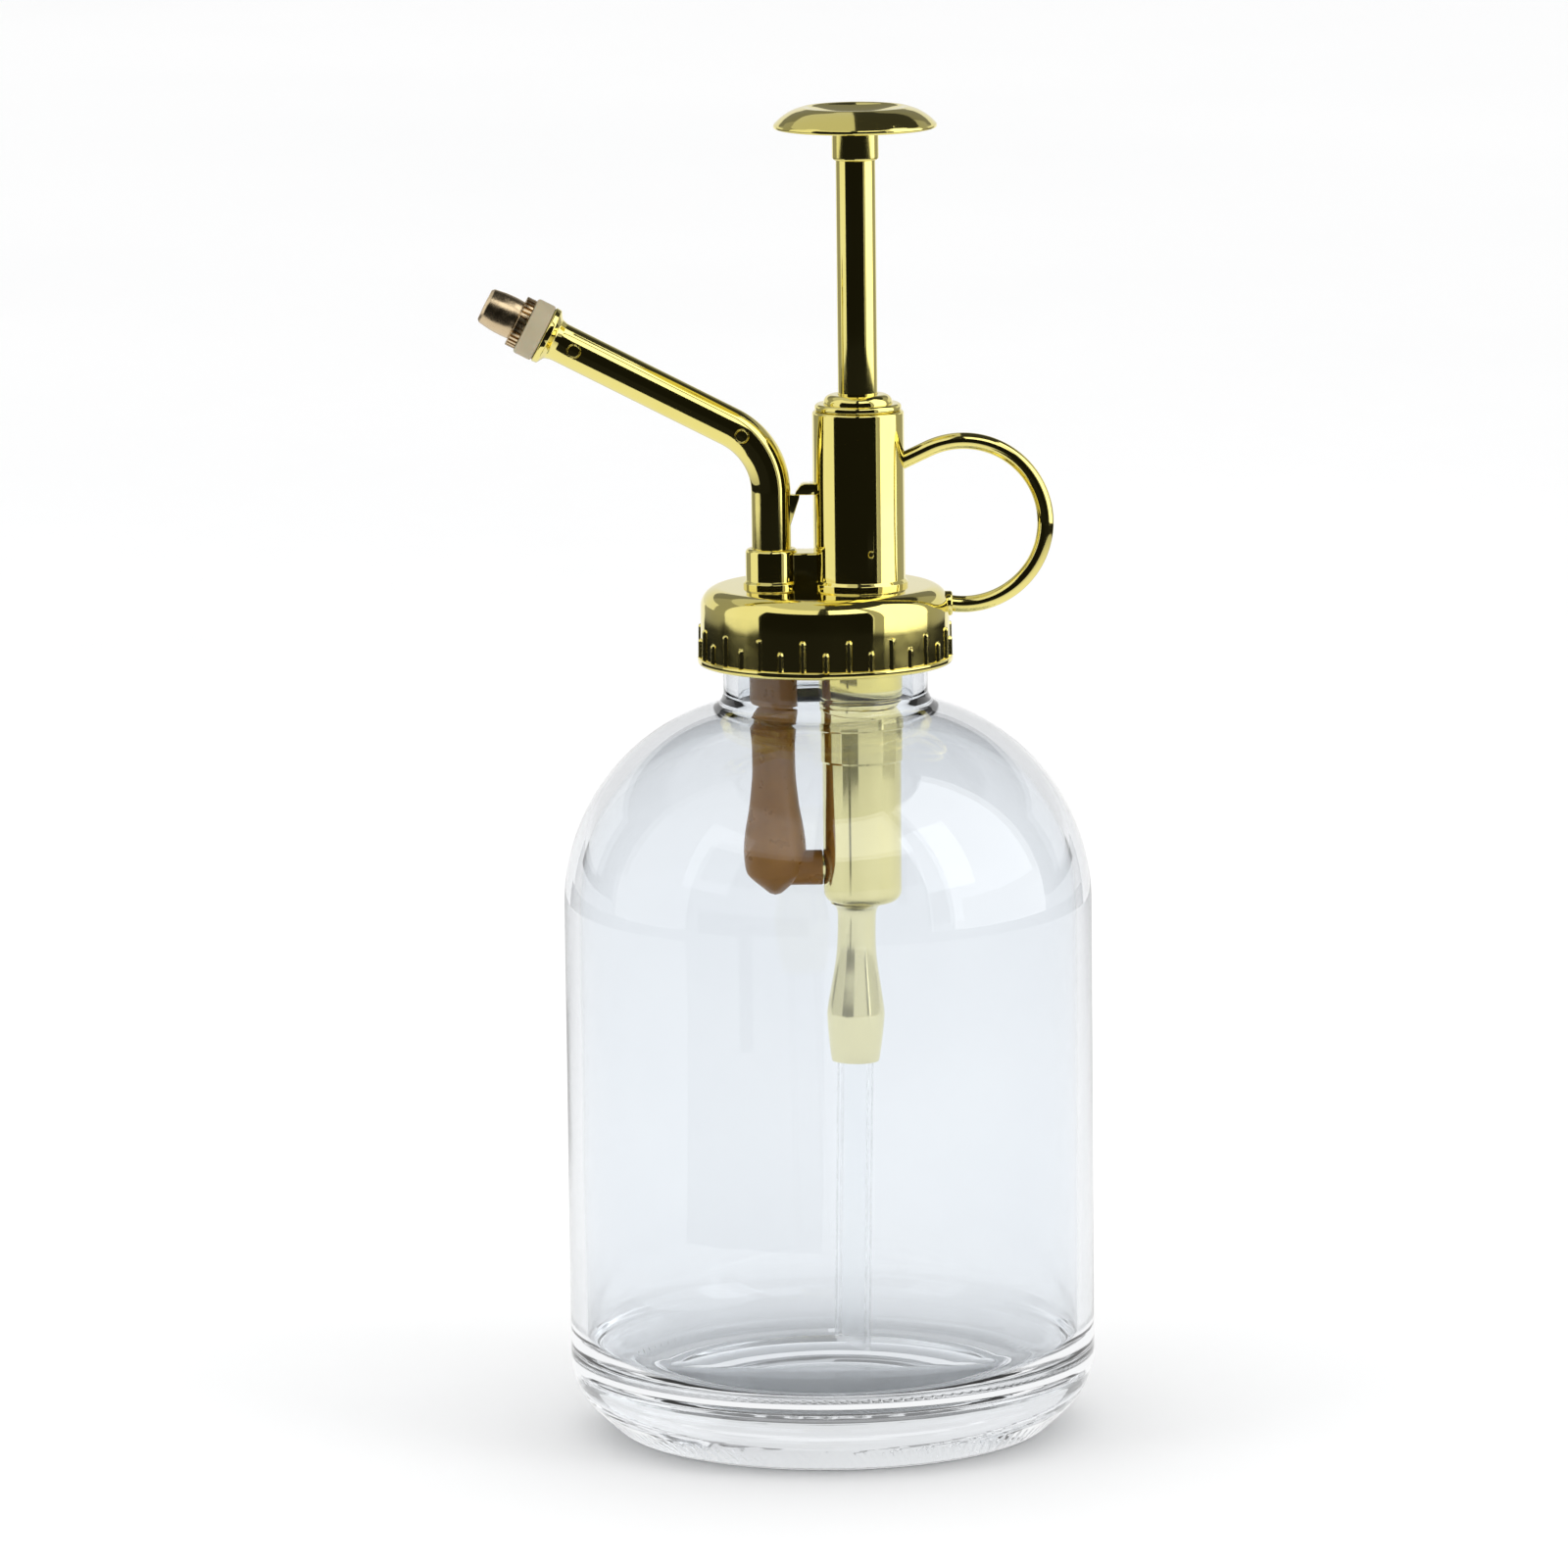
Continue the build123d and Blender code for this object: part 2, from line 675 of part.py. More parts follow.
with BuildPart() as spout:
    with BuildLine() as spout_path:
        FilletPolyline(
            (spout_x, 0, spout_end_z),
            spout_corner,
            flange_centre,
            radius=spout_bend_r,
        )
    with BuildSketch(Plane.XY.offset(spout_end_z)):
        with Locations((spout_x, 0)):
            Circle(spout_r)
    sweep(path=spout_path.line)
    with BuildSketch(nozzle_plane):
        with BuildLine():
            Line((0, -2.3), (spout_r, -2.3))
            ThreePointArc((spout_r, -2.3), (3.1, -1.5), (flange_r - 0.25, -0.95))
            Polyline(
                (flange_r - 0.25, -0.95),
                (flange_r, -0.7),
                (flange_r, -0.25),
                (flange_r - 0.25, 0),
                (stub_r, 0),
                (stub_r, washer_thickness + 3.0),
                (0, washer_thickness + 3.0),
                (0, -2.3),
            )
        make_face()
    revolve(axis=nozzle_axis)
    with BuildSketch(Plane.XZ):
        with BuildLine():
            Polyline(
                (spout_x + 2, hook_z - 0.05),
                (hook_tip_x + 0.6, hook_z - 0.05),
                (hook_tip_x + 0.5, hook_z - 0.7),
                (spout_x + spout_r, 130.2),
                (spout_x + 2, 130.2),
                close=True,
            )
        make_face()
    extrude(amount=0.9, both=True)
    with BuildSketch(Plane.XY.offset(spout_end_z)):
        with Locations((spout_x, 0)):
            Circle(spout_bore_r)
    sweep(path=spout_path.line, mode=Mode.SUBTRACT)
    with BuildSketch(nozzle_plane):
        with Locations((0.5, 3)):
            Rectangle(1.0, 8)
    revolve(axis=nozzle_axis, mode=Mode.SUBTRACT)
    with BuildSketch(spout_plane):
        with Locations(((groove_r + 2 * spout_r) / 2, groove_z + groove_height / 2)):
            Rectangle(2 * spout_r - groove_r, groove_height)
    revolve(axis=spout_axis, mode=Mode.SUBTRACT)
    with BuildSketch(Plane.XZ.offset(spout_r - 0.36)):
        with Locations(bend_mark, (end_mark.X, end_mark.Z)):
            Circle(mark_r)
            Circle(mark_r - 0.24, mode=Mode.SUBTRACT)
    extrude(amount=1, mode=Mode.SUBTRACT)
save(spout, "spout")

spout_seal_wire = 0.45
with BuildPart() as spout_seal:
    with BuildSketch(spout_plane):
        with Locations((groove_r + 0.02 + spout_seal_wire, groove_z + groove_height / 2)):
            Circle(spout_seal_wire)
    revolve(axis=spout_axis)
save(spout_seal, "spout_seal")

# ---------------------------------------------------------------------------- washer and nozzle
face_gap = 0.03
stub_gap = 0.05
nozzle_foot = washer_thickness + 2 * face_gap
nozzle_end = nozzle_foot + nozzle_height
nozzle_shoulder = nozzle_foot + nozzle_base_height
cavity_end = washer_thickness + 3.9
orifice_r = 0.3

with BuildPart() as nozzle_washer:
    with BuildSketch(nozzle_plane) as washer_section:
        with Locations(((stub_r + stub_gap + washer_r) / 2, face_gap + washer_thickness / 2)):
            Rectangle(washer_r - stub_r - stub_gap, washer_thickness)
        fillet(washer_section.vertices().group_by(Axis.X)[-1], 0.35)
    revolve(axis=nozzle_axis)
save(nozzle_washer, "nozzle_washer")

with BuildPart() as nozzle:
    with BuildSketch(nozzle_plane):
        with BuildLine():
            Polyline(
                (stub_r + stub_gap, nozzle_foot),
                (nozzle_base_r - 0.15, nozzle_foot),
                (nozzle_base_r, nozzle_foot + 0.15),
                (nozzle_base_r, nozzle_shoulder - 0.15),
                (nozzle_base_r - 0.15, nozzle_shoulder),
                (nozzle_tip_r - 0.1, nozzle_shoulder),
            )
            Spline(
                (nozzle_tip_r - 0.1, nozzle_shoulder),
                (nozzle_tip_r, nozzle_shoulder + 1.2),
                (nozzle_tip_r - 0.35, nozzle_end - 0.6),
                tangents=((0.1, 1), (-0.2, 1)),
            )
            Polyline(
                (nozzle_tip_r - 0.35, nozzle_end - 0.6),
                (nozzle_tip_r - 0.75, nozzle_end),
                (1.25, nozzle_end),
                (orifice_r, nozzle_end - 0.5),
                (orifice_r, cavity_end),
                (stub_r + stub_gap, cavity_end),
                (stub_r + stub_gap, nozzle_foot),
            )
        make_face()
    revolve(axis=nozzle_axis)
    knurl_plane = Plane(origin=flange_centre + spout_way * (nozzle_foot - 0.5), z_dir=spout_way)
    with BuildSketch(knurl_plane):
        with PolarLocations(nozzle_base_r + 0.05, knurl_count):
            Rectangle(0.6, 0.38)
    extrude(amount=nozzle_base_height + 1, mode=Mode.SUBTRACT)
save(nozzle, "nozzle")

disc_foot = washer_thickness + 3.15
disc_thickness = cavity_end - disc_foot - 0.02
with BuildPart() as swirl_disc:
    disc_plane = Plane(origin=flange_centre + spout_way * disc_foot, z_dir=spout_way)
    with BuildSketch(disc_plane):
        Circle(stub_r)
        Circle(0.4, mode=Mode.SUBTRACT)
        with PolarLocations(1.35, 3):
            Rectangle(1.1, 0.45, rotation=55, mode=Mode.SUBTRACT)
    extrude(amount=disc_thickness)
save(swirl_disc, "swirl_disc")

# ---------------------------------------------------------------------------------- the plunger
spigot_end_z = piston_top_z - piston_height + 0.6

with BuildPart() as plunger_rod:
    with BuildSketch(pump_plane):
        with BuildLine():
            Polyline(
                (0, spigot_end_z),
                (spigot_r, spigot_end_z),
                (spigot_r, piston_top_z + 0.01),
                (rod_r, piston_top_z + 0.01),
                (rod_r, rod_top_z),
                (0, rod_top_z),
                close=True,
            )
        make_face()
    revolve(axis=pump_axis)
save(plunger_rod, "plunger_rod")

rim_r = 11.55
dish_z = 188.2
with BuildPart() as thumb_button:
    with BuildSketch(pump_plane) as button_section:
        with BuildLine():
            Polyline(
                (0, rod_top_z + 0.02),
                (rod_r + 0.02, rod_top_z + 0.02),
                (rod_r + 0.02, button_boss_z),
                (button_boss_r, button_boss_z),
                (button_boss_r, 185.9),
                (11.2, 186.3),
            )
            ThreePointArc((11.2, 186.3), (rim_r, 186.65), (11.35, 187.1))
            ThreePointArc((11.35, 187.1), (9.6, 188.5), (7.9, 189.25))
            ThreePointArc((7.9, 189.25), (7.1, 189.36), (6.3, 189.15))
            dome((6.3, 189.15), dish_z)
            Line((0, dish_z), (0, rod_top_z + 0.02))
        make_face()
        round_corners(button_section, (((button_boss_r, button_boss_z), 0.45),))
    revolve(axis=pump_axis)
save(thumb_button, "thumb_button")

piston_z = piston_top_z - piston_height
land = 1.5  # each of the piston's two lands, above and below its seal
seal_seat_r = 3.3
with BuildPart() as piston:
    with BuildSketch(pump_plane):
        with BuildLine():
            Polyline(
                (spigot_r + 0.02, piston_z),
                (piston_r, piston_z),
                (piston_r, piston_z + land),
                (seal_seat_r, piston_z + land),
                (seal_seat_r, piston_top_z - land),
                (piston_r, piston_top_z - land),
                (piston_r, piston_top_z),
                (spigot_r + 0.02, piston_top_z),
                close=True,
            )
        make_face()
    revolve(axis=pump_axis)
save(piston, "piston")

with BuildPart() as piston_seal:
    with BuildSketch(pump_plane):
        with BuildLine():
            Polyline(
                (seal_seat_r + 0.02, piston_z + land + 0.05),
                (seal_seat_r + 0.5, piston_z + land + 0.05),
                (seal_seat_r + 0.6, piston_z + land + 1.6),
                (seal_r - 0.45, piston_z + land + 0.05),
                (seal_r, piston_z + land + 0.05),
                (seal_r, piston_z + land + 0.8),
                (seal_r - 0.25, piston_top_z - land - 0.05),
                (seal_seat_r + 0.02, piston_top_z - land - 0.05),
                close=True,
            )
        make_face()
    revolve(axis=pump_axis)
save(piston_seal, "piston_seal")

# ---------------------------------------------------------------------------- the return spring
spring_foot_z = cage_z + cage_thickness + spring_wire_r + 0.02
spring_height = piston_z - spring_wire_r - 0.02 - spring_foot_z

with BuildPart() as return_spring:
    with BuildLine() as spring_path:
        Helix(
            spring_height / spring_turns,
            spring_height,
            spring_mean_r,
            center=(pump_x, 0, spring_foot_z),
        )
    with BuildSketch(Plane(origin=spring_path.line @ 0, z_dir=spring_path.line % 0)):
        Circle(spring_wire_r)
    sweep(path=spring_path.line, is_frenet=True)
save(return_spring, "return_spring")
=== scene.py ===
import math

import bmesh
import bpy
import numpy as np
from mathutils import Matrix, Vector


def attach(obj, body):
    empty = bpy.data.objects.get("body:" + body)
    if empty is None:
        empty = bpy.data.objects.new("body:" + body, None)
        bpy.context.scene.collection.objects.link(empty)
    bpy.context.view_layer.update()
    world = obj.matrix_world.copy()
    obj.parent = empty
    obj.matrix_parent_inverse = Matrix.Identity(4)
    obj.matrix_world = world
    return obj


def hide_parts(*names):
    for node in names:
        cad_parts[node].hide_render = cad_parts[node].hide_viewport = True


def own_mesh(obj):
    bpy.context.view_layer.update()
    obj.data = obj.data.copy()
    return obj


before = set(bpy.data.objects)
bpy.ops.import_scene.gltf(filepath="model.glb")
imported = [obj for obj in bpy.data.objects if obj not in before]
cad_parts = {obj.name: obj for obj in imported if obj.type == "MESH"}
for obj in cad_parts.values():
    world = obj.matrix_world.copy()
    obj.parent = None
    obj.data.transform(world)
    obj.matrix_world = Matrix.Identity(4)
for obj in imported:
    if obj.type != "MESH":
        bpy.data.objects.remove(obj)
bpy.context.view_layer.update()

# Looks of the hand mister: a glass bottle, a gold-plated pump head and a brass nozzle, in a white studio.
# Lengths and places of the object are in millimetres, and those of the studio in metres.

MM = 0.001

# --------------------------------------------------- dimensions that several pieces share, in millimetres
PUMP_X = 4.97
SPOUT_X = -7.45
BARREL_R = 6.5
BARREL_TOP = 146.4
CAP_TOP = 121.5
CAP_RIM = 110.5
CAP_R = 17.6
CAP_LIP_R = 18.1
CAP_LIP_HEIGHT = 1.1
CAP_BORE_R = 16.2
CAP_PLATE = 119.2
CAP_FACE_R = 17.65
CAP_SHOULDER_Z = 116.2
RIB_COUNT = 17
RIB_R = 0.38
TALL_RIB_TOP = 116.0
SHORT_RIB_TOP = 114.3
RING_X, RING_Z, RING_R, WIRE_R = 19.7, 130.2, 11.65, 1.17
SPOUT_R = 2.8
SPOUT_BORE_R = 1.4
SPOUT_FOOT = 118.05
SPOUT_CORNER = 141.3
SPOUT_BEND_R = 10.5
SPOUT_RISE = math.radians(27.3)
SPOUT_LENGTH = 35.8
FLANGE_R = 4.2
STUB_R, STUB_END = 2.1, 5.8
STUB_CLEAR_R = 2.15
WASHER_R = 4.2
WASHER_FOOT, WASHER_THICKNESS = 0.03, 2.8
NOZZLE_FOOT = 2.86
NOZZLE_BASE_R = 3.75
NOZZLE_BASE_HEIGHT = 1.4
NOZZLE_BORE_DEPTH = 3.84
NOZZLE_TIP_R = 2.28
NOZZLE_HOLE_R = 0.3
NOZZLE_END = 9.26
KNURL_COUNT = 30
KNURL_DEPTH = 0.45
PORT_Z = 81.0
CYLINDER_FOOT = 75.9
CYLINDER_BORE_R = 4.5
STEM_LEAN = math.radians(1.1)
STEM_LENGTH = 22.8
DIP_R, DIP_BORE_R = 2.6, 1.85
SPRING_FOOT, SPRING_TOP = 83.34, 137.4
SPRING_R, SPRING_WIRE_R, SPRING_TURNS = 3.5, 0.4, 15
SPRING_STEPS, SPRING_SIDES = 40, 12


# ------------------------------------------------------------------------------ section helpers
def arc(centre, radius, start, end, steps):
    """Points of an arc, angles in degrees."""
    turn = np.radians(np.linspace(start, end, steps + 1))
    return [(centre[0] + radius * math.cos(a), centre[1] + radius * math.sin(a)) for a in turn]


def rounded(points, steps=8):
    """A section line with rounded corners: each point is (r, z) or (r, z, fillet radius)."""
    line = []
    for i, point in enumerate(points):
        corner = Vector(point[:2])
        if len(point) == 2:
            line.append(tuple(corner))
            continue
        before = (Vector(points[i - 1][:2]) - corner).normalized()
        after = (Vector(points[(i + 1) % len(points)][:2]) - corner).normalized()
        half = before.angle(after) / 2
        middle = corner + (before + after).normalized() * (point[2] / math.sin(half))
        start = corner + before * (point[2] / math.tan(half)) - middle
        end = corner + after * (point[2] / math.tan(half)) - middle
        turn = start.angle_signed(end)
        for k in range(steps + 1):
            a = math.atan2(start.y, start.x) - turn * k / steps
            line.append((middle.x + point[2] * math.cos(a), middle.y + point[2] * math.sin(a)))
    return line


def smooth_line(points, steps=10):
    """A Catmull-Rom curve through the points."""
    rows = [Vector(p) for p in points]
    rows = [2 * rows[0] - rows[1], *rows, 2 * rows[-1] - rows[-2]]
    line = []
    for i in range(1, len(rows) - 2):
        a, b, c, d = rows[i - 1:i + 3]
        for k in range(steps):
            t = k / steps
            line.append(tuple(0.5 * (2 * b + (c - a) * t + (2 * a - 5 * b + 4 * c - d) * t * t
                                     + (3 * b - a - 3 * c + d) * t ** 3)))
    line.append(tuple(rows[-2]))
    return line


def dense(points, step):
    """The same line with no stretch longer than step."""
    line = [points[0]]
    for (r0, z0), (r1, z1) in zip(points, points[1:]):
        count = max(1, math.ceil(math.hypot(r1 - r0, z1 - z0) / step))
        line += [(r0 + (r1 - r0) * k / count, z0 + (z1 - z0) * k / count) for k in range(1, count + 1)]
    return line


# --------------------------------------------------------------------------------- mesh helpers
UP = Matrix.Identity(4)


def upright(x):
    """Frame of a vertical axis through x."""
    return Matrix.Translation((x, 0, 0))


def along(origin, axis):
    """Frame whose Z runs along axis from origin, with its X in the plane of the object's symmetry."""
    z = Vector(axis).normalized()
    y = Vector((0, 1, 0))
    x = y.cross(z).normalized()
    return Matrix.Translation(origin) @ Matrix((x, y, z)).transposed().to_4x4()


def make(name, points, faces, sharp=30):
    """A piece from points in millimetres, smooth but for edges sharper than that many degrees."""
    mesh = bpy.data.meshes.new(name)
    mesh.from_pydata([tuple(c * MM for c in p) for p in points], [], faces)
    tidy(mesh, sharp)
    piece = bpy.data.objects.new(name, mesh)
    bpy.context.scene.collection.objects.link(piece)
    return piece


def tidy(mesh, sharp):
    """Merges doubled points, turns the faces outward and smooths all but the sharp edges."""
    bm = bmesh.new()
    bm.from_mesh(mesh)
    bmesh.ops.remove_doubles(bm, verts=bm.verts, dist=1e-7)
    bmesh.ops.dissolve_degenerate(bm, edges=bm.edges, dist=1e-8)
    bmesh.ops.recalc_face_normals(bm, faces=bm.faces)
    for face in bm.faces:
        face.smooth = True
    bm.to_mesh(mesh)
    bm.free()
    mesh.set_sharp_from_angle(angle=math.radians(sharp))


def lathe(name, section, at=UP, segments=192, loop=False, relief=None, sharp=30, shear=None):
    """A section of (r, z) points turned about the frame's Z.

    relief(angles, r, z) gives how far to move points outward and shear(x, z) how far to move a point up,
    and loop closes a section that stays off the axis.
    """
    turn = np.arange(segments) * math.tau / segments
    points, rows, faces = [], [], []
    for r, z in section:
        if r < 1e-6:
            rows.append([len(points)] * segments)
            points.append(at @ Vector((0, 0, z)))
            continue
        radius = np.full(segments, r) + (relief(turn, r, z) if relief else 0)
        rows.append(list(range(len(points), len(points) + segments)))
        for a, reach in zip(turn, radius):
            x, y = reach * math.cos(a), reach * math.sin(a)
            rise = shear(x, z) if shear else 0
            points.append(at @ Vector((x, y, z + rise)))
    pairs = list(zip(rows, rows[1:]))
    if loop:
        pairs.append((rows[-1], rows[0]))
    for low, high in pairs:
        for k in range(segments):
            n = (k + 1) % segments
            face = [low[k], low[n], high[n], high[k]]
            face = [v for i, v in enumerate(face) if v not in face[:i]]
            if len(face) > 2:
                faces.append(face)
    return make(name, points, faces, sharp)


def headings(line):
    """Unit vectors along a line of points, one at each point."""
    last = len(line) - 1
    return [(line[min(i + 1, last)] - line[max(i - 1, 0)]).normalized() for i in range(last + 1)]


def tube(name, path, radius, sides=48, bore=None, sharp=40):
    """A round bar or pipe along a path of (x, z) points in the plane of symmetry."""
    line = [Vector((p[0], 0, p[1])) for p in path]
    points, faces = [], []
    across = Vector((0, 1, 0))
    shells = [radius] if bore is None else [radius, bore]
    for shell in shells:
        for centre, way in zip(line, headings(line)):
            side = across.cross(way)
            for k in range(sides):
                a = math.tau * k / sides
                points.append(centre + side * shell * math.cos(a) + across * shell * math.sin(a))
    count = len(line)
    for s in range(len(shells)):
        base = s * count * sides
        for i in range(count - 1):
            for k in range(sides):
                n = (k + 1) % sides
                faces.append([base + i * sides + k, base + i * sides + n,
                              base + (i + 1) * sides + n, base + (i + 1) * sides + k])
    if bore is None:
        faces += [list(range(sides)), [(count - 1) * sides + k for k in range(sides)]]
    else:
        for i in (0, count - 1):
            for k in range(sides):
                n = (k + 1) % sides
                outer, inner = i * sides, (count + i) * sides
                faces.append([outer + k, outer + n, inner + n, inner + k])
    return make(name, points, faces, sharp)


def slab(name, outline, y0, y1, bevel=0.0, sharp=30):
    """An outline of (x, z) points extruded from y0 to y1, with bevelled edges."""
    count = len(outline)
    points = [Vector((x, y, z)) for y in (y0, y1) for x, z in outline]
    faces = [list(range(count)), list(range(2 * count - 1, count - 1, -1))]
    faces += [[k, (k + 1) % count, count + (k + 1) % count, count + k] for k in range(count)]
    piece = make(name, points, faces, sharp)
    if bevel:
        bm = bmesh.new()
        bm.from_mesh(piece.data)
        bmesh.ops.bevel(bm, geom=bm.edges[:], offset=bevel * MM, segments=3, profile=0.5, affect="EDGES")
        bm.to_mesh(piece.data)
        bm.free()
        tidy(piece.data, sharp)
    return piece


def combine(piece, tool, how, sharp=30):
    """Joins tool to the piece, or cuts it away, and drops tool."""
    modifier = piece.modifiers.new("combine", "BOOLEAN")
    modifier.operation = how
    modifier.solver = "EXACT"
    modifier.object = tool
    depsgraph = bpy.context.evaluated_depsgraph_get()
    shape = bpy.data.meshes.new_from_object(piece.evaluated_get(depsgraph))
    piece.modifiers.clear()
    piece.data = shape
    bpy.data.objects.remove(tool)
    tidy(shape, sharp)
    return piece


# -------------------------------------------------------------------------------------- materials
def srgb(*levels):
    """A colour picked in 0..255 display values, as linear light."""
    made = []
    for level in levels:
        c = level / 255
        made.append(c / 12.92 if c <= 0.04045 else ((c + 0.055) / 1.055) ** 2.4)
    return (*made, 1.0)


class Finish:
    """A Principled material with noise-driven colour, roughness and bump."""

    def __init__(self, name):
        self.material = bpy.data.materials.new(name)
        self.material.use_nodes = True
        self.nodes = self.material.node_tree.nodes
        self.links = self.material.node_tree.links
        self.shader = self.nodes["Principled BSDF"]
        self.place = self.nodes.new("ShaderNodeTexCoord").outputs["Object"]

    def stretch(self, scale):
        node = self.nodes.new("ShaderNodeMapping")
        node.inputs["Scale"].default_value = scale
        self.links.new(self.place, node.inputs["Vector"])
        return node.outputs["Vector"]

    def noise(self, scale, detail=3.0, rough=0.5, vector=None):
        node = self.nodes.new("ShaderNodeTexNoise")
        node.inputs["Scale"].default_value = scale
        node.inputs["Detail"].default_value = detail
        node.inputs["Roughness"].default_value = rough
        self.links.new(vector or self.place, node.inputs["Vector"])
        return node.outputs["Fac"]

    def ramp(self, value, *stops):
        node = self.nodes.new("ShaderNodeValToRGB")
        ramp = node.color_ramp
        ramp.elements[0].position, ramp.elements[0].color = stops[0]
        ramp.elements[1].position, ramp.elements[1].color = stops[-1]
        for position, colour in stops[1:-1]:
            ramp.elements.new(position).color = colour
        self.links.new(value, node.inputs["Fac"])
        return node.outputs["Color"]

    def span(self, value, low, high, start=0.3, end=0.7):
        node = self.nodes.new("ShaderNodeMapRange")
        for key, number in (("From Min", start), ("From Max", end), ("To Min", low), ("To Max", high)):
            node.inputs[key].default_value = number
        self.links.new(value, node.inputs["Value"])
        return node.outputs["Result"]

    def bump(self, height, strength, distance):
        node = self.nodes.new("ShaderNodeBump")
        node.inputs["Strength"].default_value = strength
        node.inputs["Distance"].default_value = distance
        self.links.new(height, node.inputs["Height"])
        self.links.new(node.outputs["Normal"], self.shader.inputs["Normal"])

    def drive(self, key, output):
        self.links.new(output, self.shader.inputs[key])

    def fix(self, **values):
        for key, value in values.items():
            self.shader.inputs[key.replace("_", " ")].default_value = value
        return self


def gold_finish(name, smooth, worn, painted_sheen=0.0):
    """Polished gold plating, with the roughness of its smooth and worn spots; the last number whitens the
    colour, a painted sheen for gold seen through the glass.
    """
    f = Finish(name)
    cloud = f.noise(70, 4)
    # painted sheen: the last number whitens both colours towards the pale highlights of gold seen through the
    # glass
    deep = (0.86, 0.752 + 0.2 * painted_sheen, 0.235 + painted_sheen, 1)
    light = (0.89, 0.782 + 0.2 * painted_sheen, 0.27 + painted_sheen, 1)
    f.drive("Base Color", f.ramp(cloud, (0.35, deep), (0.65, light)))
    f.drive("Roughness", f.span(f.noise(240, 3), smooth, worn))
    f.bump(f.noise(160, 2), 0.05, 0.00012)
    return f.fix(Metallic=1.0).material


def glass_finish():
    f = Finish("glass")
    cloud = f.noise(38, 2)
    f.drive("Base Color", f.ramp(cloud, (0.35, (0.877, 0.9, 0.925, 1)), (0.65, (0.892, 0.914, 0.936, 1))))
    f.drive("Roughness", f.span(f.noise(90, 2), 0.0, 0.012))
    f.bump(f.noise(55, 2, vector=f.stretch((1, 1, 0.35))), 0.10, 0.0006)
    return f.fix(Transmission_Weight=1.0, IOR=1.5).material


def brass_finish():
    f = Finish("brass")
    turned = f.noise(900, 3)
    f.drive("Base Color", f.ramp(f.noise(160, 3), (0.3, srgb(210, 186, 148)), (0.7, srgb(230, 208, 170))))
    f.drive("Roughness", f.span(turned, 0.2, 0.3))
    f.bump(turned, 0.04, 0.00004)
    return f.fix(Metallic=1.0).material


def moulded_finish(name, low, high, rough, clear=0.0, grain=380, depth=0.08, **more):
    """A plastic or rubber between two colours; clear is its transmission and depth that of its grain."""
    f = Finish(name)
    f.drive("Base Color", f.ramp(f.noise(grain * 0.3, 4), (0.3, low), (0.7, high)))
    f.drive("Roughness", f.span(f.noise(grain, 3), rough * 0.85, rough * 1.2))
    f.bump(f.noise(grain, 3), depth, 0.0001)
    return f.fix(Transmission_Weight=clear, **more).material


def steel_finish():
    f = Finish("spring_steel")
    drawn = f.noise(1500, 2, vector=f.stretch((1, 1, 6)))
    f.drive("Base Color", f.ramp(f.noise(300, 3), (0.3, srgb(150, 150, 152)), (0.7, srgb(196, 197, 200))))
    f.drive("Roughness", f.span(drawn, 0.18, 0.34))
    f.bump(drawn, 0.1, 0.00005)
    return f.fix(Metallic=1.0).material


FINISHES = {
    "gold": gold_finish("gold", 0.045, 0.085),
    # the next two are rougher, paler copies of the gold, their colour whitened by painted sheen, for the pump
    # parts seen through the glass
    "gold_soft_painted_sheen": gold_finish("gold_soft_painted_sheen", 0.08, 0.13, 0.16),
    "gold_satin_painted_sheen": gold_finish("gold_satin_painted_sheen", 0.12, 0.18, 0.26),
    "glass": glass_finish(),
    "brass": brass_finish(),
    "spring_steel": steel_finish(),
    "amber_plastic": moulded_finish(
        "amber_plastic", srgb(164, 110, 42), srgb(188, 134, 62), 0.3, clear=0.2, depth=0.02, IOR=1.4),
    "natural_plastic": moulded_finish(
        "natural_plastic", srgb(248, 250, 251), srgb(253, 254, 255), 0.22, clear=0.86, depth=0.01, IOR=1.14),
    "clear_tube": moulded_finish(
        "clear_tube", srgb(250, 252, 253), srgb(254, 255, 255), 0.1, clear=1.0, depth=0.01,
        Alpha=0.4, IOR=1.12),
    "cream_seal": moulded_finish(
        "cream_seal", srgb(160, 150, 120), srgb(180, 168, 138), 0.55, depth=0.2,
        Subsurface_Weight=0.2, Subsurface_Scale=0.001),
    "gasket_rubber": moulded_finish("gasket_rubber", srgb(214, 214, 208), srgb(232, 232, 227), 0.6),
    "black_rubber": moulded_finish("black_rubber", srgb(24, 24, 24), srgb(40, 40, 41), 0.5),
}


def place(piece, body, finish, *nodes, look=None):
    """Gives a piece its finish, lets it ride its body and stand for its CAD nodes.

    look, where given, is the finish that is drawn instead of finish.
    """
    piece.data.materials.clear()
    piece.data.materials.append(FINISHES[look or finish])
    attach(piece, body)
    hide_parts(*nodes)
    return piece


# ---------------------------------------------------------------------------------- glass bottle
GLASS_R, GLASS_BORE_R = 37.5, 35.3
SHOULDER = (8.0, 76.0)
SHOULDER_R = GLASS_R - SHOULDER[0]
WALL = GLASS_R - GLASS_BORE_R
PUNT_R, PUNT_HEIGHT = 25.5, 2.6
FLOOR_Z, FLOOR_DOME, FLOOR_EDGE_R = 8.3, 1.0, 27.6
NECK_R, NECK_BORE_R, NECK_ROOT_R = 14.5, 12.5, 2.4
NECK_LOW, NECK_BORE_LOW, LIP_Z = 106.7, 105.0, 118.2
THREAD_FROM, THREAD_TO, THREAD_MIDDLE = 111.0, 117.9, 112.7
THREAD_PITCH, THREAD_TURNS, THREAD_HEIGHT = 3.5, 1.25, 1.3
MARK_FROM, MARK_TO, MARK_DEPTH, MARK_COUNT = 0.35, 3.4, 0.11, 120


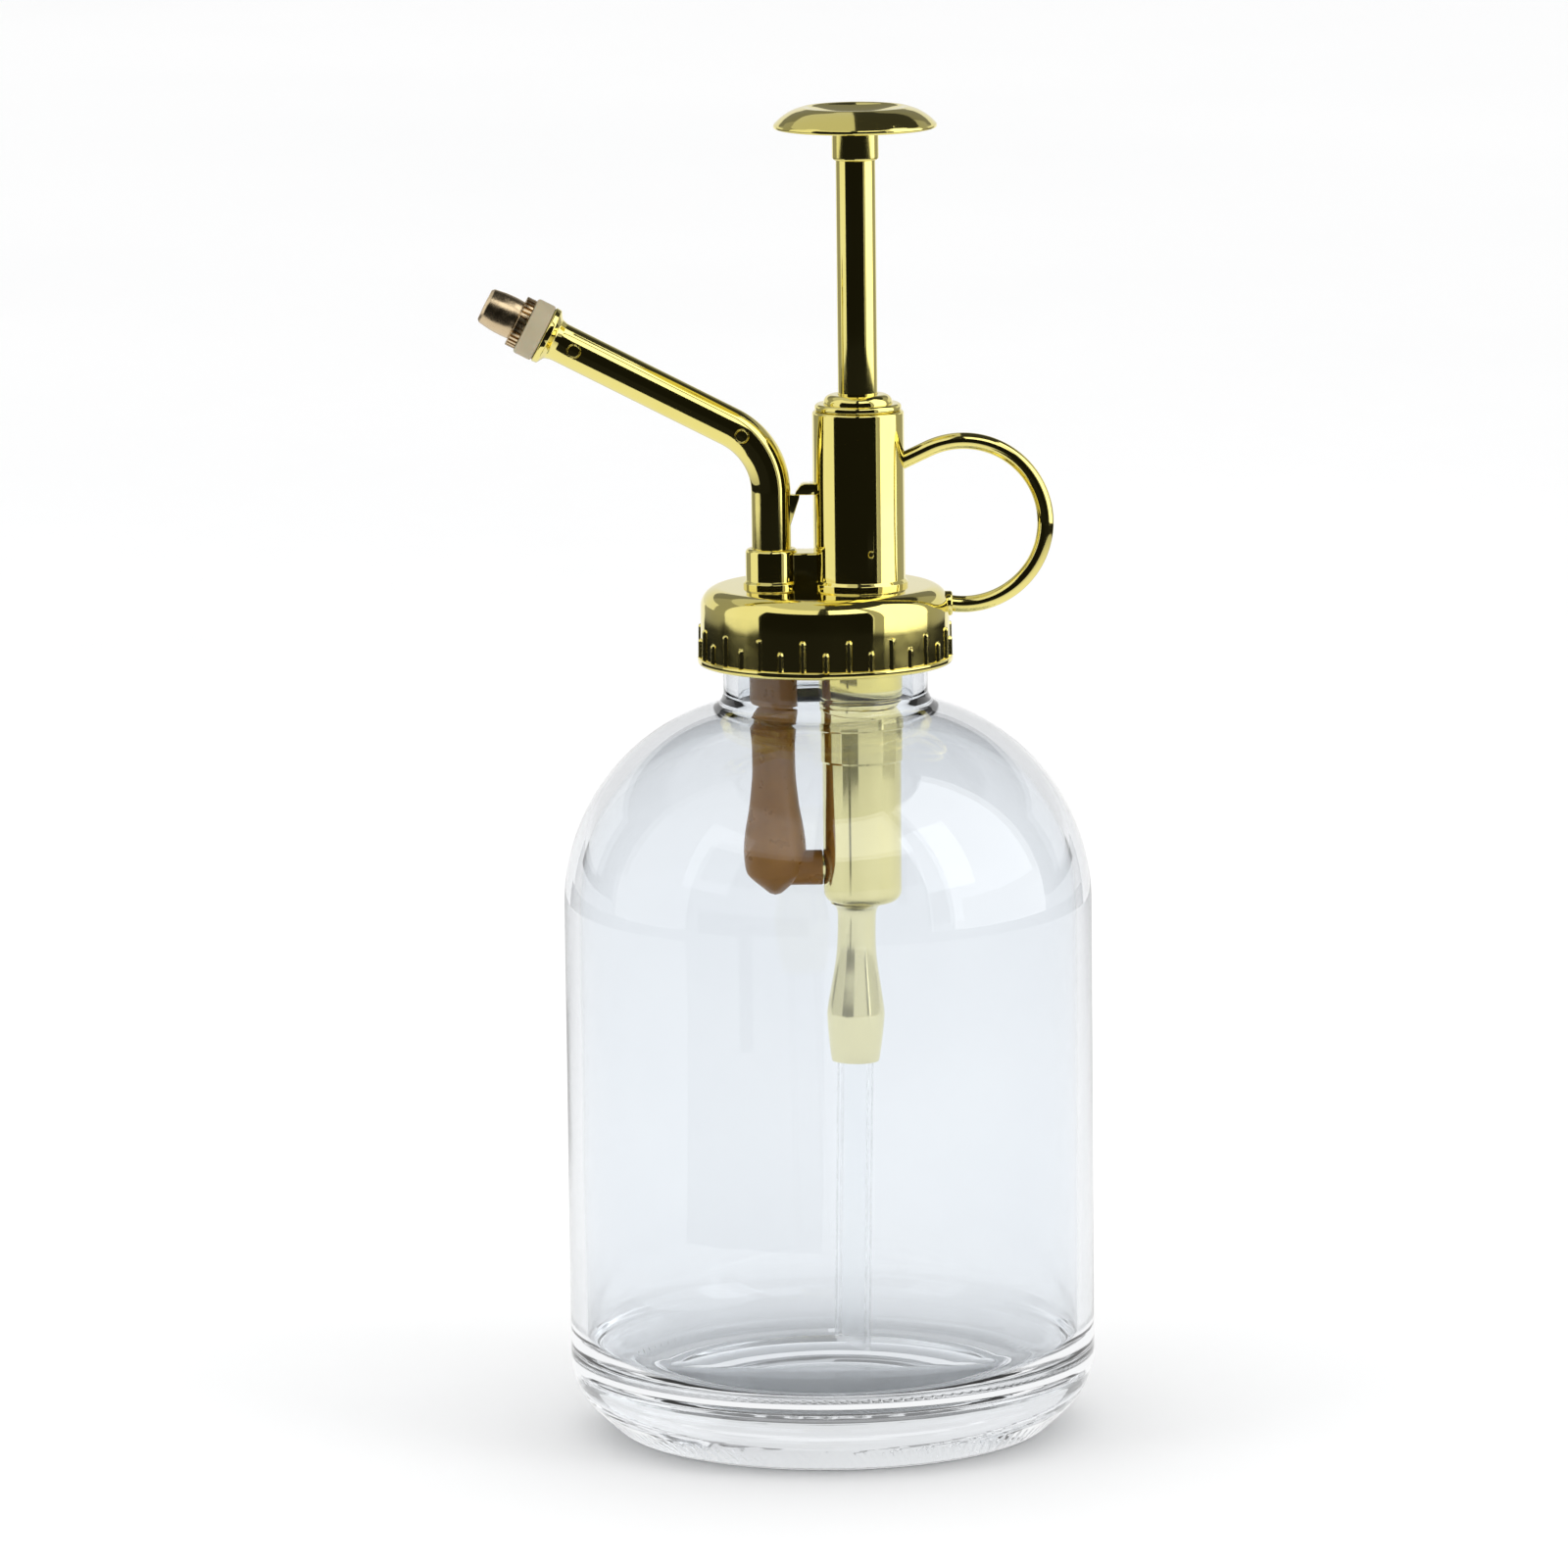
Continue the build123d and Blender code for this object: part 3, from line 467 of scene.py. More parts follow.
def shoulder_line(radius, neck, steps):
    """Shoulder arc from the wall up, then the small fillet into the neck."""
    centre_r = neck + NECK_ROOT_R
    reach = radius + NECK_ROOT_R
    turn = math.degrees(math.acos((centre_r - SHOULDER[0]) / reach))
    centre = (centre_r, SHOULDER[1] + reach * math.sin(math.radians(turn)))
    return arc(SHOULDER, radius, 0, turn, steps) + arc(centre, NECK_ROOT_R, turn + 180, 180, 10)[1:]


def bottle_relief(turn, r, z):
    """Thread bead on the neck and slanted knurl marks round the foot."""
    if abs(r - NECK_R) < 0.1 and THREAD_FROM < z < THREAD_TO:
        out = np.zeros_like(turn)
        for lap in (0, 1):
            laps = turn / math.tau + lap
            middle = THREAD_MIDDLE + THREAD_PITCH * laps
            bead = np.clip((0.8 - np.abs(z - middle)) / 0.35, 0, 1) * THREAD_HEIGHT
            out = np.maximum(out, np.where(laps <= THREAD_TURNS, bead, 0))
        return out
    if 29.8 < r < 35.5 and MARK_FROM < z < MARK_TO:
        fade = math.sin(math.pi * (z - MARK_FROM) / (MARK_TO - MARK_FROM))
        return MARK_DEPTH * fade * np.clip(np.cos(turn * MARK_COUNT + z * 1.9) * 1.6 - 0.5, 0, 1)
    return 0


def bottle_section():
    """The glass, from the middle of the foot up the outside, over the lip and down to the floor's middle."""
    foot = [(PUNT_R * k / 24, PUNT_HEIGHT * (1 - (k / 24) ** 2)) for k in range(24)]
    foot += rounded([(PUNT_R, 0, 0.6), (30.3, 0, 2.9), (GLASS_R, 6.6, 10.4), (GLASS_R, SHOULDER[1])], 16)[:-1]
    heel = [p for p in foot if p[0] > 29]
    foot = [p for p in foot if p[0] <= 29]
    outer_shoulder = shoulder_line(SHOULDER_R, NECK_R, 64)
    lip = [(NECK_R, NECK_LOW), (NECK_R, LIP_Z, 0.7), (NECK_BORE_R, LIP_Z, 0.7), (NECK_BORE_R, NECK_BORE_LOW)]
    neck = dense(rounded(lip, 6), 0.35)[1:]
    inner_shoulder = shoulder_line(SHOULDER_R - WALL, NECK_BORE_R, 48)[::-1]
    floor_r = np.linspace(FLOOR_EDGE_R, 0, 16)
    floor = [(r, FLOOR_Z + FLOOR_DOME * (1 - (r / GLASS_BORE_R) ** 2)) for r in floor_r]
    inner_heel = rounded([(GLASS_BORE_R, 60.0), (GLASS_BORE_R, FLOOR_Z, 7.2), floor[0]], 20)[:-1]
    return foot + dense(heel, 0.22) + outer_shoulder + neck + inner_shoulder + inner_heel + floor


bottle = lathe("glass_bottle", bottle_section(), segments=960, relief=bottle_relief, sharp=60)
place(bottle, "bottle", "glass", "bottle")


# ------------------------------------------------------------------------------------- screw cap
def cap_relief(turn, r, z):
    """Ribs round the skirt, tall and short turn about."""
    if r < CAP_R - 0.05 or z < CAP_RIM + CAP_LIP_HEIGHT - 0.01 or z > TALL_RIB_TOP:
        return 0
    out = np.zeros_like(turn)
    step = math.tau / RIB_COUNT
    for top, offset in ((SHORT_RIB_TOP, 0.0), (TALL_RIB_TOP, step / 2)):
        if z >= top:
            continue
        reach = RIB_R * math.sqrt(max(0.0, 1 - max(0.0, (z - top + RIB_R) / RIB_R) ** 2))
        beside = ((turn + math.pi / 2 - offset + step / 2) % step - step / 2) * CAP_R
        out = np.maximum(out, np.sqrt(np.clip(reach ** 2 - beside ** 2, 0, None)))
    return out


lip_top = CAP_RIM + CAP_LIP_HEIGHT
skirt_low = rounded([
    (0, CAP_PLATE), (CAP_BORE_R, CAP_PLATE, 0.4), (CAP_BORE_R, CAP_RIM, 0.4), (CAP_LIP_R, CAP_RIM, 0.5),
    (CAP_LIP_R, lip_top, 0.3), (CAP_R + 0.1, lip_top)], 8)
skirt = dense([(CAP_R + 0.1, lip_top), (CAP_FACE_R, CAP_SHOULDER_Z)], 0.1)[1:]
cap_shoulder = rounded([(CAP_FACE_R, CAP_SHOULDER_Z), (CAP_R, CAP_TOP, 2.8), (0, CAP_TOP)], 24)[1:]
cap = lathe("screw_cap", skirt_low + skirt + cap_shoulder, segments=1224, relief=cap_relief, sharp=35)

# the lug on the cap's side, which holds the ring's lower end
LUG_R, LUG_FROM, LUG_TO = 1.75, 16.3, 18.1
lug = lathe("lug", rounded([(0, LUG_FROM), (LUG_R, LUG_FROM), (LUG_R, LUG_TO, 0.35), (0, LUG_TO)]),
            along((0, 0, RING_Z - RING_R + 0.15), (1, 0, 0)), 64)
combine(cap, lug, "UNION", 35)

# holes for the barrel, the spout's socket and the vent
for hole_x, hole_y, hole_r in ((PUMP_X, 0, 6.0), (SPOUT_X, 0, 3.75), (-2.0, 9.2, 0.5)):
    bit = lathe("bit", [(0, 118.5), (hole_r, 118.5), (hole_r, 123), (0, 123)],
                Matrix.Translation((hole_x, hole_y, 0)), 96)
    combine(cap, bit, "DIFFERENCE", 35)
place(cap, "head", "gold", "screw_cap")

# ------------------------------------------------------------------------------------- pump body
body = lathe("pump_body", rounded([
    (5.5, 106.95), (5.95, 106.95), (5.95, CAP_TOP - 0.3), (6.85, CAP_TOP - 0.3), (6.85, CAP_TOP + 0.5, 0.2),
    (BARREL_R, CAP_TOP + 0.95, 0.15), (BARREL_R, BARREL_TOP, 0.45), (5.5, BARREL_TOP)]),
    upright(PUMP_X), 256, loop=True)
socket = lathe("socket", rounded([
    (1.0, 108.0), (2.7, 108.0), (2.7, 116.6), (3.7, 116.6), (3.7, CAP_TOP - 0.3), (4.05, CAP_TOP - 0.3),
    (4.05, CAP_TOP + 0.5, 0.15), (3.7, CAP_TOP + 0.85, 0.15), (3.7, 126.9, 0.6), (2.85, 126.9), (2.85, 118.0),
    (2.1, 118.0), (2.1, 114.4), (1.0, 113.3)]), upright(SPOUT_X), 160, loop=True)
WEB_LEFT, WEB_RIGHT, WEB_LOW, WEB_TOP, WEB_HALF = SPOUT_X + 3.0, PUMP_X - 5.9, CAP_TOP - 0.25, 126.4, 2.9
web = slab("web", [(WEB_LEFT, WEB_LOW), (WEB_RIGHT, WEB_LOW), (WEB_RIGHT, WEB_TOP), (WEB_LEFT, WEB_TOP)],
           -WEB_HALF, WEB_HALF, 0.25)
HOOK_TIP, HOOK_ROOT, HOOK_LOW, HOOK_TOP, HOOK_HALF = SPOUT_X + 3.45, PUMP_X - 6.2, 134.55, 136.1, 1.5
hook = slab("hook", [
    (HOOK_ROOT, HOOK_LOW), (HOOK_TIP, HOOK_LOW), (HOOK_TIP, HOOK_LOW + 0.35),
    (HOOK_TIP + 0.75, HOOK_TOP - 0.15), (HOOK_TIP + 1.15, HOOK_TOP), (HOOK_ROOT, HOOK_TOP)],
    -HOOK_HALF, HOOK_HALF, 0.12)
combine(body, web, "UNION")
combine(body, socket, "UNION")
combine(body, hook, "UNION")


def ring_mark(x, y, z, radius, wire_r):
    """A fine round-bottomed ring left by a moulding pin, ready to be cut from the front of a piece."""
    turns = [math.tau * k / 16 for k in range(16)]
    wire = [(radius + wire_r * math.cos(a), wire_r * math.sin(a)) for a in turns]
    facing_front = Matrix.Translation((x, y, z)) @ Matrix.Rotation(math.radians(90), 4, "X")
    return lathe("mark", wire, facing_front, 64, loop=True)


combine(body, ring_mark(6.6, -BARREL_R + 0.2, 126.6, 0.45, 0.12), "DIFFERENCE")
place(body, "head", "gold", "pump_body")

# ------------------------------------------------------------------------------------- gland cap
gland = lathe("gland_cap", rounded([
    (4.2, 143.92), (5.47, 143.92), (5.47, 146.42), (6.15, 146.42, 0.25), (6.15, 147.4, 0.5), (4.9, 147.4),
    (4.9, 148.7, 1.25), (2.85, 148.7), (2.85, 145.2), (4.2, 145.2)]), upright(PUMP_X), 224, loop=True)
place(gland, "head", "gold", "gland_cap")

# ----------------------------------------------------------------------------------- finger ring
CAP_SINK = 0.8
BARREL_END_TURN, LEAD_LENGTH = 115, 6.2
lead_turn = math.radians(BARREL_END_TURN + 90)
cap_end = -math.degrees(math.acos((CAP_R - CAP_SINK - RING_X) / RING_R))
bow = arc((RING_X, RING_Z), RING_R, cap_end, BARREL_END_TURN, 160)
end_x, end_z = bow[-1]
for k in range(1, 9):
    reach = LEAD_LENGTH * k / 8
    bow.append((end_x + reach * math.cos(lead_turn), end_z + reach * math.sin(lead_turn)))
ring = tube("finger_ring", bow, WIRE_R, 40)
core = lathe("core", [(0, 118), (5.8, 118), (5.8, 142), (0, 142)], upright(PUMP_X), 128)
combine(ring, core, "DIFFERENCE", 40)
place(ring, "head", "gold", "finger_ring")

# -------------------------------------------------------------- pump cylinder, stem, dip tube
cylinder_foot = rounded([(3.7, CYLINDER_FOOT, 0.0001), (5.55, CYLINDER_FOOT, 1.8), (5.55, 96.3)], 12)[1:]
collars = rounded([
    (5.75, 96.7), (5.75, 100.9, 0.05), (5.9, 101.1, 0.05), (5.9, 102.4, 0.1), (5.6, 102.6, 0.1),
    (5.6, 103.1, 0.1), (5.9, 103.3, 0.1), (5.9, 104.8, 0.1), (5.6, 105.0, 0.1), (5.6, 105.5, 0.1),
    (5.9, 105.7, 0.1), (5.9, 106.93), (5.45, 106.93)], 4)
cylinder = lathe("pump_cylinder", [
    (1.0, CYLINDER_FOOT), *cylinder_foot, (5.75, 96.6), *collars, (5.45, 143.9), (CYLINDER_BORE_R, 143.9),
    (CYLINDER_BORE_R, 78.5), (2.6, 78.5), (1.0, 76.9)], upright(PUMP_X), 224, loop=True)
nipple = lathe("nipple", [(1.1, -0.6), (1.75, -0.6), (1.75, 3.3), (1.1, 3.3)],
               along((-3.0, 0, PORT_Z), (1, 0, 0)), 64, loop=True)
combine(cylinder, nipple, "UNION")
# the cylinder is drawn in the paler gold, its colour whitened by painted sheen
place(cylinder, "head", "gold", "pump_cylinder", look="gold_soft_painted_sheen")

# the stem and the dip tube hang from a frame whose Z runs down, 0.85 mm to the left of the cylinder's axis
stem_at = along((PUMP_X - 0.85, 0, CYLINDER_FOOT), (-math.sin(STEM_LEAN), 0, -math.cos(STEM_LEAN)))
throat = smooth_line([(3.72, 0.12), (3.3, 0.42), (2.92, 0.85), (2.74, 1.6), (2.7, 2.4), (2.7, 4.0)], 6)
swell = smooth_line([
    (2.7, 4.2), (2.78, 6.5), (3.05, 9.0), (3.62, 12.5), (4.06, 15.4), (4.08, 16.6), (3.85, 19.3),
    (3.5, 22.2)], 8)
stem = lathe("suction_stem", [
    (1.9, 0.1), (3.7, 0.1), *throat, *swell, (3.38, STEM_LENGTH - 0.05), (3.2, STEM_LENGTH),
    (2.63, STEM_LENGTH), (2.63, 14.8), (1.9, 14.8)], stem_at, 192, loop=True)
# the stem is drawn in the paler gold, its colour whitened by painted sheen
place(stem, "head", "gold", "suction_stem", look="gold_satin_painted_sheen")

DIP_TOP, DIP_FOOT_Z = 14.83, 10.6
DIP_CUT = math.tan(math.radians(25))
dip_end = (CYLINDER_FOOT - DIP_FOOT_Z) / math.cos(STEM_LEAN) - DIP_R * DIP_CUT
dip_wall = dense([(DIP_R, DIP_TOP), (DIP_R, dip_end)], 2.0)
dip_bore = dense([(DIP_BORE_R, dip_end), (DIP_BORE_R, DIP_TOP)], 2.0)
dip = lathe("dip_tube", dip_wall + dip_bore, stem_at, 96, loop=True,
            shear=lambda x, z: -x * DIP_CUT * (z > dip_end - 0.01))
place(dip, "head", "natural_plastic", "dip_tube", look="clear_tube")

# -------------------------------------------------------------------------------- delivery elbow
belly = smooth_line([
    (3.2, 79.3), (4.0, 80.3), (4.33, 82.0), (4.42, 84.0), (4.15, 86.6), (3.55, 90.0), (3.12, 94.0),
    (3.05, 98.0), (3.22, 101.2)], 8)
sleeve = rounded([
    (3.25, 101.3), (2.7, 102.0, 0.15), (2.7, 102.7, 0.15), (3.4, 103.4, 0.2), (3.4, 116.5, 0.2),
    (2.75, 116.5), (2.75, 107.9), (1.6, 107.9), (1.6, 79.6), (0, 79.6)], 5)
elbow = lathe("delivery_elbow", [(0, 77.05), (0.9, 77.35), *belly, *sleeve], upright(SPOUT_X), 160)
branch = lathe("branch", rounded([(0, 0), (2.5, 0), (2.5, 6.8, 0.25), (0, 6.8)], 5),
               along((SPOUT_X, 0, PORT_Z), (1, 0, 0)), 96)
combine(elbow, branch, "UNION")

# the branch's bore, then the wider seat of the cylinder's nipple
BRANCH_CUT_X = -0.3
for bore_r, from_x in ((1.1, SPOUT_X), (1.8, -3.7)):
    bit = lathe("bit", [(0, from_x), (bore_r, from_x), (bore_r, BRANCH_CUT_X), (0, BRANCH_CUT_X)],
                along((0, 0, PORT_Z), (1, 0, 0)), 64)
    combine(elbow, bit, "DIFFERENCE")
place(elbow, "head", "amber_plastic", "delivery_elbow")

# ------------------------------------------------------------------------------------- the spout
WAY = Vector((-math.cos(SPOUT_RISE), 0, math.sin(SPOUT_RISE)))
FLANGE = Vector((SPOUT_X, 0, SPOUT_CORNER)) + WAY * SPOUT_LENGTH
bend_turn = math.pi / 2 - SPOUT_RISE
bend_low = SPOUT_CORNER - SPOUT_BEND_R * math.tan(bend_turn / 2)
bend = arc((SPOUT_X - SPOUT_BEND_R, bend_low), SPOUT_BEND_R, 0, math.degrees(bend_turn), 48)
path = dense([(SPOUT_X, SPOUT_FOOT), (SPOUT_X, bend_low)], 2.0)[:-1] + bend
path += dense([bend[-1], (FLANGE.x, FLANGE.z)], 2.0)[1:]
spout = tube("spout", path, SPOUT_R, 96, SPOUT_BORE_R)
spout_at = along(FLANGE, WAY)
flange = lathe("flange", rounded([
    (SPOUT_BORE_R, -3.4), (SPOUT_R - 0.05, -3.4), (SPOUT_R + 0.02, -2.4, 0.3), (3.05, -1.55, 0.5),
    (FLANGE_R - 0.1, -0.9, 0.25), (FLANGE_R, 0, 0.25), (STUB_R, 0), (STUB_R, STUB_END, 0.2),
    (SPOUT_BORE_R, STUB_END)]), spout_at, 160, loop=True)
combine(spout, flange, "UNION")

# the fin under the body's hook
FIN_LEFT, FIN_LOW, FIN_TOP, FIN_HALF = SPOUT_X + 2.2, 130.2, HOOK_LOW - 0.05, 0.9
fin = slab("fin", [
    (FIN_LEFT, FIN_TOP), (HOOK_TIP + 0.6, FIN_TOP), (HOOK_TIP + 0.5, HOOK_LOW - 0.7),
    (SPOUT_X + SPOUT_R - 0.05, FIN_LOW), (FIN_LEFT, FIN_LOW)], -FIN_HALF, FIN_HALF, 0.08)
combine(spout, fin, "UNION")

# two round pin marks on the front, one on the bend and one near the flange
BEND_MARK_TURN, END_MARK_BACK = 52, 4.8
bend_mark = arc((SPOUT_X - SPOUT_BEND_R, bend_low), SPOUT_BEND_R, BEND_MARK_TURN, BEND_MARK_TURN, 1)[0]
end_mark = FLANGE - WAY * END_MARK_BACK
for mark_x, mark_z in (bend_mark, (end_mark.x, end_mark.z)):
    combine(spout, ring_mark(mark_x, -SPOUT_R + 0.1, mark_z, 0.92, 0.17), "DIFFERENCE")

# the groove of the seal, inside the socket
groove = lathe("groove", [(1.9, 122.4), (4, 122.4), (4, 123.5), (1.9, 123.5)],
               upright(SPOUT_X), 96, loop=True)
combine(spout, groove, "DIFFERENCE")
place(spout, "head", "gold", "spout")

# -------------------------------------------------------------------------- washer and nozzle
washer_top = WASHER_FOOT + WASHER_THICKNESS
washer = lathe("nozzle_washer", rounded([
    (STUB_CLEAR_R, WASHER_FOOT), (WASHER_R, WASHER_FOOT, 0.35), (WASHER_R, washer_top, 0.45),
    (STUB_CLEAR_R, washer_top)], 6), spout_at, 128, loop=True)
place(washer, "washer", "cream_seal", "nozzle_washer")


def knurl(turn, r, z):
    """Slots round the nozzle's foot."""
    if r < NOZZLE_BASE_R - 0.3 or z > NOZZLE_FOOT + NOZZLE_BASE_HEIGHT + 0.01:
        return 0
    beside = np.abs((turn * KNURL_COUNT / math.tau) % 1 - 0.5) * 2
    return -KNURL_DEPTH * np.clip((beside - 0.5) / 0.08, 0, 1) * (r > NOZZLE_BASE_R - 0.25)


knurl_top = NOZZLE_FOOT + NOZZLE_BASE_HEIGHT
bore_end = NOZZLE_FOOT + NOZZLE_BORE_DEPTH
nozzle_base = rounded([
    (STUB_CLEAR_R, NOZZLE_FOOT), (NOZZLE_BASE_R, NOZZLE_FOOT, 0.12), (NOZZLE_BASE_R, knurl_top, 0.12),
    (2.85, knurl_top)], 4)
waist = [(2.86, 1.45), (2.92, 2.6), (2.86, 4.2), (2.64, 5.8), (2.58, 6.05)]
waist = smooth_line([(r, NOZZLE_FOOT + z) for r, z in waist], 8)
tip = rounded([
    (2.55, NOZZLE_FOOT + 6.1), (NOZZLE_TIP_R, NOZZLE_END, 0.14), (1.25, NOZZLE_END, 0.08),
    (NOZZLE_HOLE_R, NOZZLE_END - 0.5)], 4)
nozzle = lathe("nozzle", [*nozzle_base, *waist, *tip, (NOZZLE_HOLE_R, bore_end), (STUB_CLEAR_R, bore_end)],
               spout_at, 900, loop=True, relief=knurl)
place(nozzle, "nozzle", "brass", "nozzle")

# ----------------------------------------------------------------------------------- the plunger
ROD_R, ROD_NECK_R = 2.8, 1.55
ROD_FOOT, ROD_STEP, ROD_TOP = 138.45, 143.86, 184.2
rod = lathe("plunger_rod", rounded([
    (0, ROD_FOOT), (ROD_NECK_R, ROD_FOOT), (ROD_NECK_R, ROD_STEP), (ROD_R, ROD_STEP, 0.2),
    (ROD_R, ROD_TOP, 0.1), (0, ROD_TOP)]), upright(PUMP_X), 192)
place(rod, "plunger", "gold", "plunger_rod")

DISH_R, DISH_LOW, DISH_DEPTH = 6.3, 188.2, 0.95
hub = rounded([(2.82, 184.22), (2.82, 181.85), (3.3, 181.85, 0.4), (3.3, 185.9, 0.35), (11.1, 186.3)], 6)
rim = smooth_line([(11.2, 186.3), (11.47, 186.44), (11.55, 186.65), (11.5, 186.9), (11.35, 187.1)], 6)
crown = smooth_line([
    (11.3, 187.15), (10.55, 187.85), (9.6, 188.5), (8.75, 188.93), (7.9, 189.22), (7.45, 189.335),
    (7.1, 189.354), (6.7, 189.29), (6.35, 189.17)], 8)
dish = [(DISH_R * (1 - k / 16), DISH_LOW + DISH_DEPTH * (1 - k / 16) ** 2) for k in range(17)]
button = lathe("thumb_button", [(0, 184.22), *hub, *rim, *crown, *dish], upright(PUMP_X), 256, sharp=40)
place(button, "plunger", "gold", "thumb_button")

# ----------------------------------------------------------------------------- the return spring
def spring_wire():
    """Points and faces of a round wire wound round the pump's axis."""
    coil = []
    last = SPRING_TURNS * SPRING_STEPS
    for i in range(last + 1):
        a = math.tau * i / SPRING_STEPS
        z = SPRING_FOOT + (SPRING_TOP - SPRING_FOOT) * i / last
        coil.append(Vector((PUMP_X + SPRING_R * math.cos(a), SPRING_R * math.sin(a), z)))
    points, faces = [], []
    for centre, way in zip(coil, headings(coil)):
        side = way.cross(Vector((0, 0, 1))).normalized()
        over = side.cross(way)
        for k in range(SPRING_SIDES):
            a = math.tau * k / SPRING_SIDES
            points.append(centre + (side * math.cos(a) + over * math.sin(a)) * SPRING_WIRE_R)
    for i in range(last):
        low, high = i * SPRING_SIDES, (i + 1) * SPRING_SIDES
        for k in range(SPRING_SIDES):
            n = (k + 1) % SPRING_SIDES
            faces.append([low + k, low + n, high + n, high + k])
    faces += [list(range(SPRING_SIDES)), [last * SPRING_SIDES + k for k in range(SPRING_SIDES)]]
    return points, faces


spring = make("return_spring", *spring_wire(), 60)
place(spring, "head", "spring_steel", "return_spring")
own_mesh(spring)

# ------------------------------------- finishes of the inner pieces, whose shapes come from the CAD
INNER = {
    "cap_gasket": "gasket_rubber", "rod_seal": "black_rubber", "spout_seal": "black_rubber",
    "piston_seal": "black_rubber", "ball_cage": "natural_plastic", "swirl_disc": "natural_plastic",
    "piston": "natural_plastic", "inlet_ball": "spring_steel", "outlet_ball": "spring_steel",
}
for node, finish in INNER.items():
    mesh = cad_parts[node].data
    mesh.materials.clear()
    mesh.materials.append(FINISHES[finish])


# ------------------------------------------------------------------------- studio: floor, light
def emissive(name, value, tint=(1.0, 1.0, 1.0)):
    """A plain glowing material for lamps and reflectors."""
    material = bpy.data.materials.new(name)
    material.use_nodes = True
    tree = material.node_tree
    tree.nodes.clear()
    glow = tree.nodes.new("ShaderNodeEmission")
    glow.inputs["Color"].default_value = (*tint, 1)
    glow.inputs["Strength"].default_value = value
    out = tree.nodes.new("ShaderNodeOutputMaterial")
    tree.links.new(glow.outputs["Emission"], out.inputs["Surface"])
    return material


def stage_mesh(name, points, faces, material, seen=("glossy",)):
    """A piece of the studio in metres, seen only by the kinds of rays named."""
    mesh = bpy.data.meshes.new(name)
    mesh.from_pydata(points, [], faces)
    mesh.materials.append(material)
    piece = bpy.data.objects.new(name, mesh)
    bpy.context.scene.collection.objects.link(piece)
    for kind in ("camera", "diffuse", "glossy", "transmission", "volume_scatter", "shadow"):
        setattr(piece, "visible_" + kind, kind in seen)
    return piece


def card(name, turn, lift, value, tint=(1.0, 1.0, 1.0), radius=3.0, seen=("glossy", "transmission")):
    """A glowing card on a sphere round the object.

    turn is its span of azimuth in degrees, from the front towards +X, and lift its span of elevation. An
    edge of lift may be a pair, for a slanted one. A ray that has left the glass counts as transmission, so
    what the pump inside the bottle shows comes from cards seen by transmission.
    """
    low, high = lift
    low = low if isinstance(low, tuple) else (low, low)
    high = high if isinstance(high, tuple) else (high, high)
    across, up = 24, 16
    points, faces = [], []
    for j in range(up + 1):
        for i in range(across + 1):
            share = i / across
            a = math.radians(turn[0] + (turn[1] - turn[0]) * share)
            bottom = low[0] + (low[1] - low[0]) * share
            top = high[0] + (high[1] - high[0]) * share
            e = math.radians(bottom + (top - bottom) * j / up)
            points.append((radius * math.sin(a) * math.cos(e), -radius * math.cos(a) * math.cos(e),
                           radius * math.sin(e)))
    for j in range(up):
        for i in range(across):
            k = j * (across + 1) + i
            faces.append((k, k + 1, k + across + 2, k + across + 1))
    return stage_mesh(name, points, faces, emissive(name, value, tint), seen)


def annulus(name, inner, outer, height, value):
    """A flat glowing ring above the floor, its two edges given as lists of (azimuth, radius)."""
    points, faces = [], []
    count = 180
    for i in range(count + 1):
        a = outer[0][0] + (outer[-1][0] - outer[0][0]) * i / count
        for edge in (inner, outer):
            r = float(np.interp(a, [e[0] for e in edge], [e[1] for e in edge]))
            points.append((r * math.sin(math.radians(a)), -r * math.cos(math.radians(a)), height))
    for i in range(count):
        faces.append((2 * i, 2 * i + 1, 2 * i + 3, 2 * i + 2))
    return stage_mesh(name, points, faces, emissive(name, value))


def fade_outwards(piece, near, far, inner, outer):
    """Lets a glowing sheet change from one strength to another with the distance from the object."""
    tree = piece.data.materials[0].node_tree
    place_node = tree.nodes.new("ShaderNodeTexCoord")
    away = tree.nodes.new("ShaderNodeVectorMath")
    away.operation = "LENGTH"
    tree.links.new(place_node.outputs["Object"], away.inputs[0])
    level = tree.nodes.new("ShaderNodeMapRange")
    level.interpolation_type = "SMOOTHSTEP"
    for key, number in (("From Min", near), ("From Max", far), ("To Min", inner), ("To Max", outer)):
        level.inputs[key].default_value = number
    tree.links.new(away.outputs["Value"], level.inputs["Value"])
    tree.links.new(level.outputs["Result"], tree.nodes["Emission"].inputs["Strength"])


def paper_finish():
    """Matt white paper with faint clouds."""
    f = Finish("white_paper")
    grey, white = (0.965, 0.968, 0.97, 1), (0.985, 0.986, 0.987, 1)
    f.drive("Base Color", f.ramp(f.noise(3, 2), (0.3, grey), (0.7, white)))
    f.drive("Roughness", f.span(f.noise(60, 3), 0.82, 0.95))
    return f.material


# the floor is hidden from reflections, where the sheet and the table stand in for it
FLOOR_HALF = 8.0
floor_corners = [(x * FLOOR_HALF, y * FLOOR_HALF, 0) for x, y in ((-1, -1), (1, -1), (1, 1), (-1, 1))]
stage_mesh("floor", floor_corners, [(0, 1, 2, 3)], paper_finish(),
           ("camera", "diffuse", "transmission", "volume_scatter", "shadow"))

